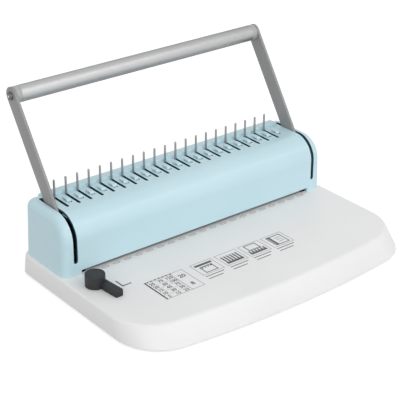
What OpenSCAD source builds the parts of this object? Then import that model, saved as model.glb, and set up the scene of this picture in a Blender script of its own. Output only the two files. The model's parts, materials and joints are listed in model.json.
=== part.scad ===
// Manual plastic-comb binding machine: a lever punch with a row of comb pins on its top.
// While it is laid out, y = 0 is the row of comb pins at rest, -y faces the operator,
// z = 0 is the table and x = 0 is the middle of the punch row. Lengths are in millimetres.

/* [Comb pattern] */
// Number of rings in a full comb
ring_count = 21; // [15:2:25]
// Distance from one ring to the next, 9/16 inch
ring_pitch = 14.2875; // [13:0.0125:15.5]

/* [Base] */
// Height of the platform above the table
base_h = 22.5; // [21:0.5:28]
// Wall of the moulded base
base_wall = 2.5; // [2:0.1:3]
// How far the base stands out round the housing
base_ledge = 3; // [2:0.5:6]
// How much further out the base stands at its bottom edge
base_flare = 2.5; // [1:0.5:5]
// Depth of the platform in front of the housing
platform_depth = 139; // [110:1:180]
// How far the sloping front runs out below the platform edge
front_slope = 17.5; // [8:0.5:24]
// Radius of the bulging front edge, seen from above
bulge_r = 1150; // [800:10:2000]
// Radius of the front corners, seen from above
front_corner_r = 50; // [30:1:60]
// Radius of the rear corners, seen from above
rear_corner_r = 12; // [8:0.5:16]
// Softened top and bottom edges of the base
base_edge = 2; // [1:0.25:2.5]
// Height of the rubber feet below the base
foot_h = 2; // [1.75:0.25:4]
// Diameter of a rubber foot
foot_d = 18; // [12:1:24]
// Thickness of the steel bottom cover
cover_t = 1.5; // [1:0.1:1.6]

/* [Housing] */
// Room from the carriage plate up to the housing's flat top
top_room = 11.2; // [10:0.1:14]
// Room from the press bar to the inside of the housing's front wall
press_room = 1.05; // [0.8:0.05:3]
// Rear face of the housing, behind the pins
housing_back = 20; // [18:0.5:30]
// Wall of the moulded housing
housing_wall = 2.5; // [2:0.1:3]
// Radius where the top rolls over into the front
nose_r = 26; // [18:0.5:28]
// Radius of the other outer edges of the housing
housing_edge = 9; // [6:0.5:10]
// How much shorter the housing is at its top, at each end
end_draft = 2.5; // [0:0.5:4]
// Distance from the middle of an arm to the end of the housing
end_cap = 14.5; // [13:0.5:20]
// Height of the throat's mouth above the platform
throat_h = 4.6; // [4.4:0.1:6]
// Width of the slots that the arms swing in
arm_slot_w = 5; // [4.5:0.1:6]
// Rear end of the arm slots, behind the pins
arm_slot_back = 8; // [4:0.5:9]
// Height of the lower end of the arm slots above the table
arm_slot_bottom = 36.5; // [34:0.5:40]
// Width of the slots that the pins travel in
pin_slot_w = 4; // [3.4:0.1:4.6]
// Spare length of a pin slot in front of the pin's last place
pin_slot_spare = 2.9; // [1:0.1:4]

/* [Handle] */
// Backward lean of the arms at rest, in degrees
arm_lean = 33.3; // [25:0.1:36]
// Length of an arm from the shaft to the tube
arm_len = 156; // [140:1:160]
// Width of an arm
arm_w = 20; // [16:0.5:22]
// Thickness of an arm
arm_t = 3; // [2.5:0.1:3.5]
// Diameter of the handle tube
tube_d = 18; // [16:0.5:20]
// Wall of the handle tube
tube_wall = 1.5; // [1:0.1:2]
// Length of the collar that shows at each end of the tube
collar_len = 6; // [4:0.5:12]
// Forward swing of the handle from its rear stop, in degrees
handle_swing = 128; // [110:1:128]

/* [Shaft and frames] */
// Diameter of the main shaft
shaft_d = 8; // [7:0.1:8.4]
// Distance of the main shaft ahead of the pins
shaft_front = 33.3; // [32:0.1:34]
// Height of the main shaft above the press bar's foot
shaft_lift = 5; // [4.6:0.1:6]
// Thickness of the steel side frames
frame_t = 2; // [1.5:0.1:2.5]
// Gap between the die's end and its side frame
frame_clear = 1; // [0.5:0.1:2]
// Gap between a side frame and its arm
arm_gap = 2; // [1.8:0.1:3]
// Side of the square tang that carries an arm
tang_w = 5.6; // [5:0.1:5.6]

/* [Punch row] */
// Width of a punched hole
punch_w = 8; // [6:0.1:9]
// Depth of a punched hole, front to back
punch_t = 3; // [2.5:0.1:3.4]
// Distance of the punch row ahead of the shaft
punch_set = 13.2; // [13:0.1:13.4]
// Paper left between the holes and the edge of the sheet
paper_edge = 3.5; // [2.5:0.1:4]
// Thickness of the die plate
die_t = 3; // [2.5:0.1:3]
// Gap that the paper slides into
paper_gap = 2.8; // [2:0.1:3]
// Room from the last punch to the side of the throat
sheet_room = 6.625; // [5.5:0.125:9]
// Width of the spacers at the throat's ends
spacer_w = 6.5; // [6:0.1:9]
// Thickness of the punch guide
guide_t = 6; // [5.5:0.1:6.5]
// How far a punch tip is drawn up into the guide at rest
punch_lift = 2.7; // [1.5:0.1:3.5]
// Thickness of the press bar's foot
press_foot_t = 4.7; // [4.5:0.1:5]
// Thickness of the press bar's upright web
press_web_t = 5; // [4.5:0.1:5.2]
// Height of the press bar's web above its foot
press_web_h = 12; // [9:0.5:13]

/* [Gearing] */
// Tooth size: pitch circle diameter for each tooth
gear_module = 1; // [0.98:0.005:1.02]
// Number of teeth on a punch pinion
pinion_teeth = 12; // [12:1:14]
// Width of a punch pinion
pinion_w = 8; // [6:0.5:9]
// Slope of the tooth flanks, in degrees
pressure_angle = 25; // [24:0.5:26]
// Gap between meshing flanks
flank_gap = 0.3; // [0.25:0.01:0.35]

/* [Comb drive] */
// Diameter of a comb pin
pin_d = 2.4; // [2:0.1:2.6]
// Height of a comb pin above the housing
pin_rise = 20.5; // [15:0.5:25]
// Forward travel of the comb pins
pin_travel = 22; // [19:0.5:22]
// Thickness of the carriage plate
carriage_t = 2; // [1.5:0.1:2]
// Thickness of a crank and of a yoke
crank_t = 4; // [3:0.1:4]
// Diameter of a crank pin
crank_pin_d = 4; // [3.6:0.1:4.2]
// Play of a crank pin in its yoke, to each side
yoke_play = 1.25; // [1.2:0.05:1.4]
// Height of a hook above the housing
hook_rise = 2.5; // [2:0.25:5]
// Width of a hook
hook_w = 5; // [3.5:0.1:5.5]
// Distance of the hooks' stems ahead of the pins at rest
hook_front = 17; // [15:0.5:18]
// Length of a hook's lip, which points back towards the pins
hook_lip = 10; // [6:0.5:11]

/* [Paper guide] */
// Diameter of the paper guide knob
knob_d = 21; // [16:0.5:26]
// Height of the knob above the platform
knob_h = 14; // [10:0.5:16]
// Length of the lever from the knob's middle
lever_len = 34; // [28:0.5:50]
// Distance of the lever's middle line from the knob's middle
lever_shift = 4; // [2:0.25:5]
// Turn of the lever away from the front at rest, in degrees
lever_turn = 5; // [0:1:10]
// Width of the lever
lever_w = 9.5; // [7:0.5:12]
// Height of the lever above the platform
lever_h = 7; // [4:0.5:9]
// Distance of the knob's middle in front of the housing
knob_front = 27.5; // [24:0.5:60]
// Distance of the knob's middle from the left end of the housing
knob_inset = 18.6; // [16:0.1:30]
// Diameter of the knob's spindle
spindle_d = 6; // [5:0.1:8]

/* [Chip tray] */
// Width of the tray, front to back
tray_w = 27; // [25:0.5:28]
// Gap between the tray's walls and the lowest place of the punch tips
tip_clear = 0.6; // [0.3:0.1:3]
// Wall of the tray
tray_wall = 1.5; // [1:0.1:2]

/* [Fits] */
// Gap all round a running shaft or spindle
running_gap = 0.05; // [0.02:0.01:0.09]
// Gap all round a pressed or screwed piece
press_gap = 0.03; // [0.02:0.01:0.05]
// Gap beside a sliding piece
slide_gap = 0.3; // [0.2:0.05:0.35]

/* [Hidden] */
$fn = 48;
eps = 0.01;
through = 1;

// Across the machine, outwards from its middle
pattern_half = (ring_count - 1) / 2 * ring_pitch;
throat_half = pattern_half + sheet_room;
die_half = throat_half + spacer_w;
frame_in = die_half + frame_clear;
frame_out = frame_in + frame_t;
arm_in = frame_out + arm_gap;
arm_out = arm_in + arm_t;
arm_mid = (arm_in + arm_out) / 2;
housing_half = arm_mid + end_cap;
base_half = housing_half + base_ledge;
shaft_half = arm_in - slide_gap;
collar_in = arm_in - collar_len;

// Gear and crank sizes
swing_rad = handle_swing * PI / 180;
pinion_r = gear_module * pinion_teeth / 2;
tooth_pitch = PI * gear_module;
tooth_tip = 0.9 * gear_module;
tooth_root = 1.25 * gear_module;
press_stroke = pinion_r * swing_rad;
crank_r = pin_travel / (2 * sin(handle_swing / 2));
yoke_slot = crank_pin_d + 2 * yoke_play;
yoke_leg = 3;
yoke_drop = 0.7;

// Heights, upwards from the table
cover_top = foot_h + cover_t;
skin_under = base_h - base_wall;
die_under = base_h - die_t;
guide_under = base_h + paper_gap;
guide_top = guide_under + guide_t;
punch_tip = guide_under + punch_lift;
bar_clear = 0.6;
bar_under = guide_top + press_stroke + bar_clear;
bar_top = bar_under + press_foot_t;
shaft_h = bar_top + shaft_lift;
rack_spare = 4;
rack_top = shaft_h + press_stroke + rack_spare;
yoke_bottom_z = shaft_h + shaft_d / 2 + 0.6;
yoke_top_z = shaft_h + crank_r - yoke_drop;
carriage_h = yoke_top_z + yoke_slot / 2 + yoke_leg;
carriage_top = carriage_h + carriage_t;
housing_top = carriage_top + top_room;
rail_drop = 4;
rail_z = housing_top - housing_wall - rail_drop;

// Depths, forwards from the pins: shaft, press bar, punches and the housing's front
shaft_y = -shaft_front;
punch_y = shaft_y - punch_set;
rack_front_t = 6.4;
rack_root_y = shaft_y - pinion_r - tooth_root;
rack_tip_y = rack_root_y + tooth_root + tooth_tip;
rack_front_y = rack_root_y - rack_front_t;
web_front_y = rack_front_y - press_web_t;
foot_back_y = rack_root_y - slide_gap;
housing_front = -web_front_y + press_room + housing_wall;
stop_y = punch_y + punch_t / 2 + paper_edge;
stop_depth = 4.5;
guide_front_y = web_front_y - press_room / 2;
guide_back_y = stop_y + stop_depth;
die_front_y = guide_front_y;
die_back_y = guide_back_y + 7;

// Handle and the stops at both ends of its swing
tube_y = shaft_y + arm_len * sin(arm_lean);
tube_z = shaft_h + arm_len * cos(arm_lean);
stop_d = 5;
stop_stem_d = 4;
stop_gap = 0.1;
stop_past = 0.5;
rear_stop_along = 18;
front_stop_along = 6;
arm_edge = arm_w / 2 + stop_d / 2 + stop_gap;
pressed_lean = arm_lean - handle_swing;
stop_places = [
  [shaft_y + rear_stop_along * sin(arm_lean) + arm_edge * cos(arm_lean),
   shaft_h + rear_stop_along * cos(arm_lean) - arm_edge * sin(arm_lean)],
  [shaft_y + front_stop_along * sin(pressed_lean) - arm_edge * cos(pressed_lean),
   shaft_h + front_stop_along * cos(pressed_lean) + arm_edge * sin(pressed_lean)]];

// Base outline
platform_front = -housing_front - platform_depth;
base_front = platform_front - front_slope;
base_back = housing_back + base_ledge;

// The part stands with its origin under the middle of its box
handle_back = tube_y + max(arm_w, tube_d) / 2;
layout_shift = -(base_front + handle_back) / 2;

// Press bar and punches
lead_in = 2;
socket_depth = 3;
rod_d = 2;
rod_z = bar_under + socket_depth / 2;
rod_spare = 7;
rack_inset = 0.5;
rack_screw_z = bar_top + press_web_h / 2;
bar_half = frame_in - 1.5;
tongue_half = arm_in - 0.8;
tongue_w = 6;

// Places along the shaft, outwards from its middle
pinion_out = frame_in - 6;
pinion_in = pinion_out - pinion_w;
hub_len = 6;
crank_out = pinion_in - 2 * hub_len - 3;
crank_in = crank_out - crank_t;
yoke_t = 3;
yoke_out = crank_in - 1.5;
yoke_in = yoke_out - yoke_t;
hub_d = shaft_d + 6;
bush_d = shaft_d + 4;
bush_flange_d = shaft_d + 8;
bush_flange_t = 1.5;
roll_pin_d = 2.5;
roll_pin_places = [pinion_in - hub_len / 2, crank_out + hub_len / 2];
washer_d = 12;
washer_t = 1;

// Carriage, pins and yokes
pin_head_d = pin_d + 2;
pin_head_t = 1;
crank_end_d = crank_pin_d + 5;
yoke_y = shaft_y + pin_travel / 2;
yoke_back_y = -pin_head_d / 2 - 1;
yoke_flange = [8, 13, 2];
yoke_screw_y = [yoke_back_y - 10, yoke_back_y - 3];
carriage_front_y = yoke_y + 2.3;
carriage_back_y = 5;
carriage_tongue_y = [carriage_back_y - 13, carriage_back_y - 1];

// Pin slots and hook rail
slot_front_y = -pin_travel - pin_d / 2 - pin_slot_spare;
slot_back_y = pin_d / 2 + 0.7;
rail_t = 1.5;
rail_w = 8.5;
rail_back_y = slot_front_y - 1.4;
rail_front_y = rail_back_y - rail_w;
rail_tab_len = 9;
rail_tab_inset = 1;
rail_screw_x = frame_in - rail_tab_len / 2;
rail_screw_y = (rail_front_y + rail_back_y) / 2;
window_spare = 1.2;

// Fasteners: shank diameter, head diameter, head height
small_screw = [3, 5.6, 2];
low_screw = [3, 5.6, 1.4];
frame_screw = [3.5, 7, 2.4];
arm_screw = [5, 9, 3];
shaft_screw = [4, 7, 2.5];
cover_screw_len = 9;
frame_screw_len = 11;
housing_screw_len = 15;
shaft_screw_len = 13;
arm_screw_len = 16;
rail_screw_len = 5;
rack_screw_len = press_web_t - small_screw[2] + 4;
yoke_screw_len = carriage_t + 3;
boss_d = 8;
plug_in = arm_in - arm_screw_len - 2;

// Places of the frames' flanges and of the screws
flange_y = [die_back_y + 2, die_back_y + 28];
frame_screw_x = frame_out + frame_screw[1] / 2 + 0.7;
frame_screw_y = [flange_y[0] + 6, flange_y[1] - 6];
flange_half = frame_screw_x + frame_screw[1] / 2 + 0.8;
frame_back_y = housing_back - housing_wall - 3.5;
die_screw_x = (throat_half + die_half) / 2;
die_screw_y = [guide_front_y + 3, guide_back_y - 3];
housing_boss_x = housing_half - 7.5;
housing_boss_y = [-housing_front + 13.5, housing_back - 12];
housing_boss_h = 18;
cover_screw_places = [[base_half - 60, base_back - 10],
                      [base_half - 12, -housing_front - 54.5],
                      [base_half - 70, platform_front + 14.5]];
foot_stem_h = cover_top + 1;
foot_places = [[base_half - 34, base_back - 17], [base_half - 30, platform_front + 29.5]];

// Knob
knob_x = -housing_half + knob_inset;
knob_y = -housing_front - knob_front;
knob_crown = 3;
lever_corner = 2;
clip_d = spindle_d + 5;
clip_t = 1;
clip_groove = 1.5;
spindle_below = 4;
knob_seat = 0.2;

// Die seat under the platform, and the chip tray below it
ledge_t = 2.5;
ledge_w = 3;
ledge_z = die_under - ledge_t;
chip_half = pattern_half + 5;
tray_mid_y = punch_y + 4;
tray_y = [tray_mid_y - tray_w / 2, tray_mid_y + tray_w / 2];
tray_under = cover_top + 0.2;
tray_top = punch_tip - press_stroke - tip_clear;
tray_left = -pattern_half - 7;
tray_face = base_half + 0.4;
tray_face_t = 3;
tray_face_top = ledge_z - 0.5;
tray_lip = [1.6, 2];
tray_lip_inset = 4;
tray_rail_t = 1.5;
tray_bay = 8;

housing_blue = [0.70, 0.84, 0.87];
base_white = [0.90, 0.90, 0.89];
arm_grey = [0.50, 0.51, 0.52];
tube_grey = [0.72, 0.73, 0.74];
knob_black = [0.16, 0.17, 0.17];
steel = [0.62, 0.64, 0.66];
dark_steel = [0.35, 0.36, 0.38];
nylon = [0.88, 0.87, 0.82];
rubber = [0.12, 0.12, 0.12];

// Moves the layout so that the origin lies under the middle of the box
module placed() {
  translate([0, layout_shift, 0]) children();
}

// Draws its children on the right and again, mirrored, on the left
module both_sides() {
  for (side = [0, 1]) mirror([side, 0, 0]) children();
}

// A block between two opposite corners
module block(low, high) {
  translate(low) cube(high - low);
}

// A cylinder along x between two places
module rod_x(d, x0, x1) {
  translate([x0, 0, 0]) rotate([0, 90, 0]) cylinder(d = d, h = x1 - x0);
}

// A screw whose head sits on z = 0 and whose shank points down
module screw(size, length) {
  cylinder(d = size[1], h = size[2]);
  translate([0, 0, -length]) cylinder(d = size[0], h = length + eps);
}

// The hole that a screw passes through, from its head's seat down
module screw_hole(size, length) {
  translate([0, 0, -length]) cylinder(d = size[0] + 2 * press_gap, h = length + through);
}

// A flat shape in the y-z plane, extruded along x between two places
module upright(x0, x1) {
  translate([x0, 0, 0]) rotate([90, 0, 90]) linear_extrude(x1 - x0) children();
}

// Moves its children to the shaft's axis and leans them as the arms lean at rest
module on_arm() {
  translate([0, shaft_y, shaft_h]) rotate([-arm_lean, 0, 0]) children();
}

// Outline of the base from above: bulging front, round corners
function base_points(half, y_back, y_front) =
  let (cx = half - front_corner_r,
       reach = bulge_r - front_corner_r,
       cy = y_front + bulge_r - sqrt(reach * reach - cx * cx),
       tilt = asin(cx / reach),
       right = concat(
         [for (i = [1:8]) let (a = tilt * i / 8)
           [bulge_r * sin(a), y_front + bulge_r * (1 - cos(a))]],
         [for (i = [1:8]) let (a = tilt + (90 - tilt) * i / 8)
           [cx + front_corner_r * sin(a), cy - front_corner_r * cos(a)]],
         [for (i = [0:5]) let (a = 90 * i / 5)
           [half + rear_corner_r * (cos(a) - 1), y_back + rear_corner_r * (sin(a) - 1)]]),
       last = len(right) - 1)
  concat([[0, y_front]], right, [for (i = [0:last]) [-right[last - i][0], right[last - i][1]]]);

// A thin slice of the base at one height, drawn in from its sides
module base_slice(z, inset) {
  rise = max(0, (z - foot_h - base_edge) / (base_h - foot_h - base_edge));
  half = base_half + base_flare * (1 - rise) - inset;
  y_back = base_back - inset;
  y_front = base_front + front_slope * rise + inset;
  translate([0, 0, z]) linear_extrude(eps) polygon(base_points(half, y_back, y_front));
}

// The base as a full solid, drawn in by a wall
module base_body(wall, low, high) {
  hull() {
    base_slice(low, wall + base_edge / 2);
    base_slice(foot_h + base_edge, wall);
    base_slice(high - base_edge, wall);
    base_slice(high - eps, wall + base_edge / 2);
  }
}

// White moulded base: platform, sides, die seat, drawer opening and screw bosses
module base_shell() placed() color(base_white) difference() {
  union() {
    difference() {
      base_body(0, foot_h, base_h);
      base_body(base_wall, foot_h - through, skin_under);
    }
    block([-die_half - ledge_w, die_front_y - ledge_w, ledge_z],
          [die_half + ledge_w, die_back_y + ledge_w, skin_under + through]);
    for (y = [tray_y[0] - slide_gap - tray_rail_t, tray_y[1] + slide_gap])
      block([tray_left, y, tray_under], [base_half - tray_bay, y + tray_rail_t, skin_under + through]);
    both_sides() {
      for (y = frame_screw_y)
        translate([frame_screw_x, y, base_h / 2])
          cylinder(d = boss_d, h = skin_under - base_h / 2 + through);
      for (at = cover_screw_places)
        translate([at[0], at[1], cover_top])
          cylinder(d = boss_d, h = skin_under - cover_top + through);
    }
  }
  block([-die_half - slide_gap, die_front_y - slide_gap, die_under],
        [die_half + slide_gap, die_back_y + slide_gap, base_h + through]);
  block([-chip_half, die_front_y + ledge_w, ledge_z - through],
        [chip_half, die_back_y - ledge_w, base_h]);
  block([base_half - tray_bay, tray_y[0] - slide_gap, cover_top],
        [base_half + base_flare + through, tray_y[1] + slide_gap, tray_face_top + slide_gap]);
  both_sides() {
    for (y = frame_screw_y)
      translate([frame_screw_x, y, base_h]) screw_hole(frame_screw, base_h);
    for (y = housing_boss_y)
      translate([housing_boss_x, y, base_h]) screw_hole(frame_screw, base_h);
    for (at = cover_screw_places)
      translate([at[0], at[1], foot_h + cover_screw_len]) screw_hole(small_screw, base_h);
    for (y = die_screw_y)
      translate([die_screw_x, y, base_h]) screw_hole(small_screw, base_h);
  }
  translate([knob_x, knob_y, 0]) cylinder(d = spindle_d + 2 * running_gap, h = base_h + through);
}

// Steel sheet that closes the underside
module bottom_cover() placed() color(steel) difference() {
  inset = base_wall + base_edge / 2 + slide_gap;
  translate([0, 0, foot_h]) linear_extrude(cover_t)
    polygon(base_points(base_half + base_flare - inset, base_back - inset, base_front + inset));
  both_sides() {
    for (at = cover_screw_places)
      translate([at[0], at[1], cover_top]) screw_hole(small_screw, base_h);
    for (at = foot_places)
      translate([at[0], at[1], 0]) cylinder(d = foot_d / 2 + 2 * press_gap, h = base_h);
  }
}

// Rubber feet with a stem pressed through the cover
module rubber_feet() placed() color(rubber) both_sides() for (at = foot_places) translate(at) {
  cylinder(d = foot_d, h = foot_h);
  cylinder(d = foot_d / 2, h = foot_stem_h);
}

// Screws that hold the cover to the base's bosses
module cover_screws() placed() color(dark_steel) both_sides() for (at = cover_screw_places)
  translate([at[0], at[1], foot_h]) mirror([0, 0, 1]) screw(low_screw, cover_screw_len);

// Drawer for the chips, pulled out of the right side
module chip_tray() placed() color(base_white) {
  difference() {
    block([tray_left, tray_y[0], tray_under], [tray_face, tray_y[1], tray_top]);
    block([tray_left + tray_wall, tray_y[0] + tray_wall, tray_under + tray_wall],
          [tray_face - tray_face_t, tray_y[1] - tray_wall, tray_top + through]);
  }
  block([tray_face - tray_face_t, tray_y[0], tray_under], [tray_face, tray_y[1], tray_face_top]);
  block([tray_face - eps, tray_y[0] + tray_lip_inset, tray_under],
        [tray_face + tray_lip[0], tray_y[1] - tray_lip_inset, tray_under + tray_lip[1]]);
}

// Hardened die that the punches pass through
module die_plate() placed() color(dark_steel) difference() {
  block([-die_half, die_front_y, die_under], [die_half, die_back_y, base_h]);
  punch_row(slide_gap / 2, die_under - through, base_h + through);
  die_screw_holes();
}

// The row of punch shanks, or of the holes round them
module punch_row(gap, z0, z1) {
  for (ring = [0:ring_count - 1])
    translate([ring * ring_pitch - pattern_half, punch_y, 0])
      block([-punch_w / 2 - gap, -punch_t / 2 - gap, z0], [punch_w / 2 + gap, punch_t / 2 + gap, z1]);
}

// Places of the screws that clamp die, spacers and guide to the base
module at_die_screws() {
  both_sides() for (y = die_screw_y)
    translate([die_screw_x, y, guide_top - small_screw[2]]) children();
}

module die_screw_holes() {
  at_die_screws() {
    screw_hole(small_screw, guide_top);
    cylinder(d = small_screw[1] + 2 * press_gap, h = small_screw[2] + through);
  }
}

// Strips at the throat's ends that hold guide and die apart
module throat_spacers() placed() color(steel) difference() {
  both_sides() block([throat_half, guide_front_y, base_h], [die_half, guide_back_y, guide_under]);
  die_screw_holes();
}

// Strip at the back of the throat that the sheets are pushed against
module paper_stop() placed() color(steel)
  block([-throat_half, stop_y, base_h], [throat_half, guide_back_y, guide_under]);

// Upper plate that guides the punches
module punch_guide() placed() color(dark_steel) difference() {
  block([-die_half, guide_front_y, guide_under], [die_half, guide_back_y, guide_top]);
  punch_row(slide_gap / 2, guide_under - through, guide_top + through);
  die_screw_holes();
  translate([-die_half - through, guide_front_y, guide_under]) rotate([45, 0, 0])
    cube([2 * die_half + 2 * through, lead_in, lead_in]);
}

module die_screws() placed() color(steel)
  at_die_screws() screw(small_screw, guide_top - small_screw[2] - ledge_z);

// Steel frame that carries the shaft, the press bar and the carriage, drawn for the right side
module side_frame() {
  hole_in = frame_in - through;
  hole_out = frame_out + through;
  color(steel) difference() {
    union() {
      upright(frame_in, frame_out) frame_outline();
      block([frame_in, flange_y[0], base_h], [flange_half, flange_y[1], base_h + frame_t]);
      block([frame_in - rail_tab_len, rail_front_y + rail_tab_inset, rail_z - frame_t],
            [frame_out, rail_back_y - rail_tab_inset, rail_z]);
    }
    translate([0, shaft_y, shaft_h]) rod_x(bush_d + 2 * press_gap, hole_in, hole_out);
    block([hole_in, punch_y - tongue_w / 2 - slide_gap, bar_under - press_stroke - slide_gap],
          [hole_out, punch_y + tongue_w / 2 + slide_gap, bar_top + slide_gap]);
    block([hole_in, carriage_tongue_y[0] - pin_travel - slide_gap, carriage_h - slide_gap],
          [hole_out, carriage_tongue_y[1] + slide_gap, carriage_top + slide_gap]);
    for (at = stop_places)
      translate([0, at[0], at[1]]) rod_x(stop_stem_d + 2 * press_gap, hole_in, hole_out);
    for (y = frame_screw_y)
      translate([frame_screw_x, y, base_h + frame_t]) screw_hole(frame_screw, base_h);
    translate([rail_screw_x, rail_screw_y, rail_z]) screw_hole(small_screw, rail_screw_len + through);
  }
}

// Outline of a side frame in the y-z plane, which follows the inside of the housing's nose
module frame_outline() {
  nose_at = [-housing_front + nose_r, housing_top - nose_r];
  front_y = -housing_front + housing_wall + frame_clear;
  intersection() {
    translate([front_y, base_h]) square([frame_back_y - front_y, rail_z - base_h]);
    union() {
      translate(nose_at) circle(r = nose_r - housing_wall - frame_clear);
      translate([front_y, base_h]) square([frame_back_y - front_y, nose_at[1] - base_h]);
      translate([nose_at[0], base_h]) square([frame_back_y - nose_at[0], rail_z - base_h]);
    }
  }
}

module side_frame_left() placed() mirror([1, 0, 0]) side_frame();

module side_frame_right() placed() side_frame();

module frame_screws() placed() color(dark_steel) both_sides() for (y = frame_screw_y)
  translate([frame_screw_x, y, base_h + frame_t]) screw(frame_screw, frame_screw_len);

// Flanged nylon bushes in the side frames
module shaft_bushes() placed() color(nylon) both_sides()
  translate([0, shaft_y, shaft_h]) difference() {
    union() {
      rod_x(bush_flange_d, frame_in - bush_flange_t, frame_in);
      rod_x(bush_d, frame_in - through, shaft_half - slide_gap);
    }
    rod_x(shaft_d + 2 * running_gap, frame_in - bush_flange_t - through, arm_in);
  }

// Steel pins that stop the arms at both ends of their swing
module stop_pins() placed() color(dark_steel) both_sides() for (at = stop_places)
  translate([0, at[0], at[1]]) {
    rod_x(stop_d, frame_out, arm_out + stop_past);
    rod_x(stop_stem_d, frame_in, frame_out + eps);
  }

// Strip with a hook between each pair of pin slots, whose lip holds the comb's back down
module hook_rail() placed() color(housing_blue) difference() {
  stem_y = [-hook_front, -hook_front + rail_t];
  union() {
    block([-frame_out, rail_front_y, rail_z], [frame_out, rail_back_y, rail_z + rail_t]);
    for (ring = [0:ring_count - 1]) translate([ring * ring_pitch - pattern_half, 0, 0]) {
      block([-hook_w / 2, rail_back_y - eps, rail_z], [hook_w / 2, stem_y[1], rail_z + rail_t]);
      block([-hook_w / 2, stem_y[0], rail_z], [hook_w / 2, stem_y[1], housing_top + hook_rise]);
      block([-hook_w / 2, stem_y[0], housing_top + hook_rise - rail_t],
            [hook_w / 2, stem_y[0] + hook_lip, housing_top + hook_rise]);
    }
  }
  at_rail_screws() screw_hole(small_screw, rail_screw_len + through);
}

module at_rail_screws() {
  both_sides() translate([rail_screw_x, rail_screw_y, rail_z + rail_t]) children();
}

module rail_screws() placed() color(dark_steel) at_rail_screws() screw(low_screw, rail_screw_len);

// The housing as a full solid, drawn in by a wall, with every edge rounded
module housing_body(wall) {
  ball = housing_edge - wall;
  low = base_h - (wall > 0 ? through : 0);
  arc_r = nose_r - housing_edge;
  nose = [for (i = [0:6]) let (a = 90 + 15 * i)
    [-housing_front + nose_r + arc_r * cos(a), housing_top - nose_r + arc_r * sin(a)]];
  tops = concat([[housing_back - housing_edge, housing_top - housing_edge]], nose);
  hull() both_sides() {
    for (at = tops) {
      draft = end_draft * (at[1] - base_h) / (housing_top - base_h);
      translate([housing_half - draft - housing_edge, at[0], at[1]]) sphere(r = ball, $fn = 32);
    }
    for (y = [-housing_front + housing_edge, housing_back - housing_edge])
      translate([housing_half - housing_edge, y, low]) cylinder(r = ball, h = eps, $fn = 32);
  }
}

// Slot of round ends, cut down through the top
module pin_slot() {
  ends = [slot_front_y + pin_slot_w / 2, slot_back_y - pin_slot_w / 2];
  low = housing_top - housing_wall - through;
  for (y = ends)
    translate([0, y, low]) cylinder(d = pin_slot_w, h = housing_wall + 2 * through, $fn = 24);
  block([-pin_slot_w / 2, ends[0], low], [pin_slot_w / 2, ends[1], housing_top + through]);
}

// Pale blue cover over the mechanism
module upper_housing() placed() color(housing_blue) difference() {
  union() {
    difference() {
      housing_body(0);
      housing_body(housing_wall);
    }
    both_sides() for (y = housing_boss_y) {
      translate([housing_boss_x, y, base_h]) cylinder(d = boss_d, h = housing_boss_h);
      block([housing_boss_x, y - housing_wall / 2, base_h],
            [housing_half - housing_wall / 2, y + housing_wall / 2, base_h + housing_boss_h - 2]);
    }
  }
  for (ring = [0:ring_count - 1]) translate([ring * ring_pitch - pattern_half, 0, 0]) {
    translate([-ring_pitch / 2, 0, 0]) pin_slot();
    block([-hook_w / 2 - slide_gap, -hook_front - window_spare, housing_top - housing_wall - through],
          [hook_w / 2 + slide_gap, -hook_front + hook_lip + slide_gap, housing_top + through]);
  }
  both_sides() {
    block([arm_mid - arm_slot_w / 2, -housing_front - through, arm_slot_bottom + arm_slot_w / 2],
          [arm_mid + arm_slot_w / 2, arm_slot_back, housing_top + through]);
    translate([arm_mid, -housing_front + housing_wall + through, arm_slot_bottom + arm_slot_w / 2])
      rotate([90, 0, 0]) cylinder(d = arm_slot_w, h = housing_wall + 2 * through);
    for (y = housing_boss_y)
      translate([housing_boss_x, y, skin_under + housing_screw_len]) screw_hole(frame_screw, base_h);
  }
  block([-die_half, -housing_front - through, base_h - through],
        [die_half, -housing_front + housing_wall + through, base_h + throat_h]);
}

module housing_screws() placed() color(dark_steel) both_sides() for (y = housing_boss_y)
  translate([housing_boss_x, y, skin_under]) mirror([0, 0, 1]) screw(frame_screw, housing_screw_len);

// Steel shaft with a square tang at each end for the arms
module main_shaft() placed() color(steel) on_arm() difference() {
  union() {
    rod_x(shaft_d, -shaft_half, shaft_half);
    both_sides() block([shaft_half - through, -tang_w / 2, -tang_w / 2],
                       [arm_out - stop_gap, tang_w / 2, tang_w / 2]);
  }
  both_sides() {
    rod_x(shaft_screw[0] + 2 * press_gap, arm_out - shaft_screw_len, arm_out + through);
    roll_pin_holes();
  }
}

// Pins that lock the pinions and cranks to the shaft, and the holes that they go through
module roll_pins() placed() color(dark_steel) on_arm() both_sides() for (x = roll_pin_places)
  translate([x, 0, -hub_d / 2 + slide_gap]) cylinder(d = roll_pin_d, h = hub_d - 2 * slide_gap);

module roll_pin_holes() {
  for (x = roll_pin_places)
    translate([x, 0, -hub_d]) cylinder(d = roll_pin_d + 2 * press_gap, h = 2 * hub_d);
}

// Involute of the base circle: angle gained when the flank has turned by a
function involute(a) = tan(a) * 180 / PI - a;

// Half of a tooth's width at one radius, as an angle
function half_tooth(r) =
  let (base_r = pinion_r * cos(pressure_angle),
       thick = tooth_pitch / 2 - flank_gap)
  thick / (2 * pinion_r) * 180 / PI + involute(pressure_angle) - involute(acos(min(1, base_r / r)));

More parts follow.
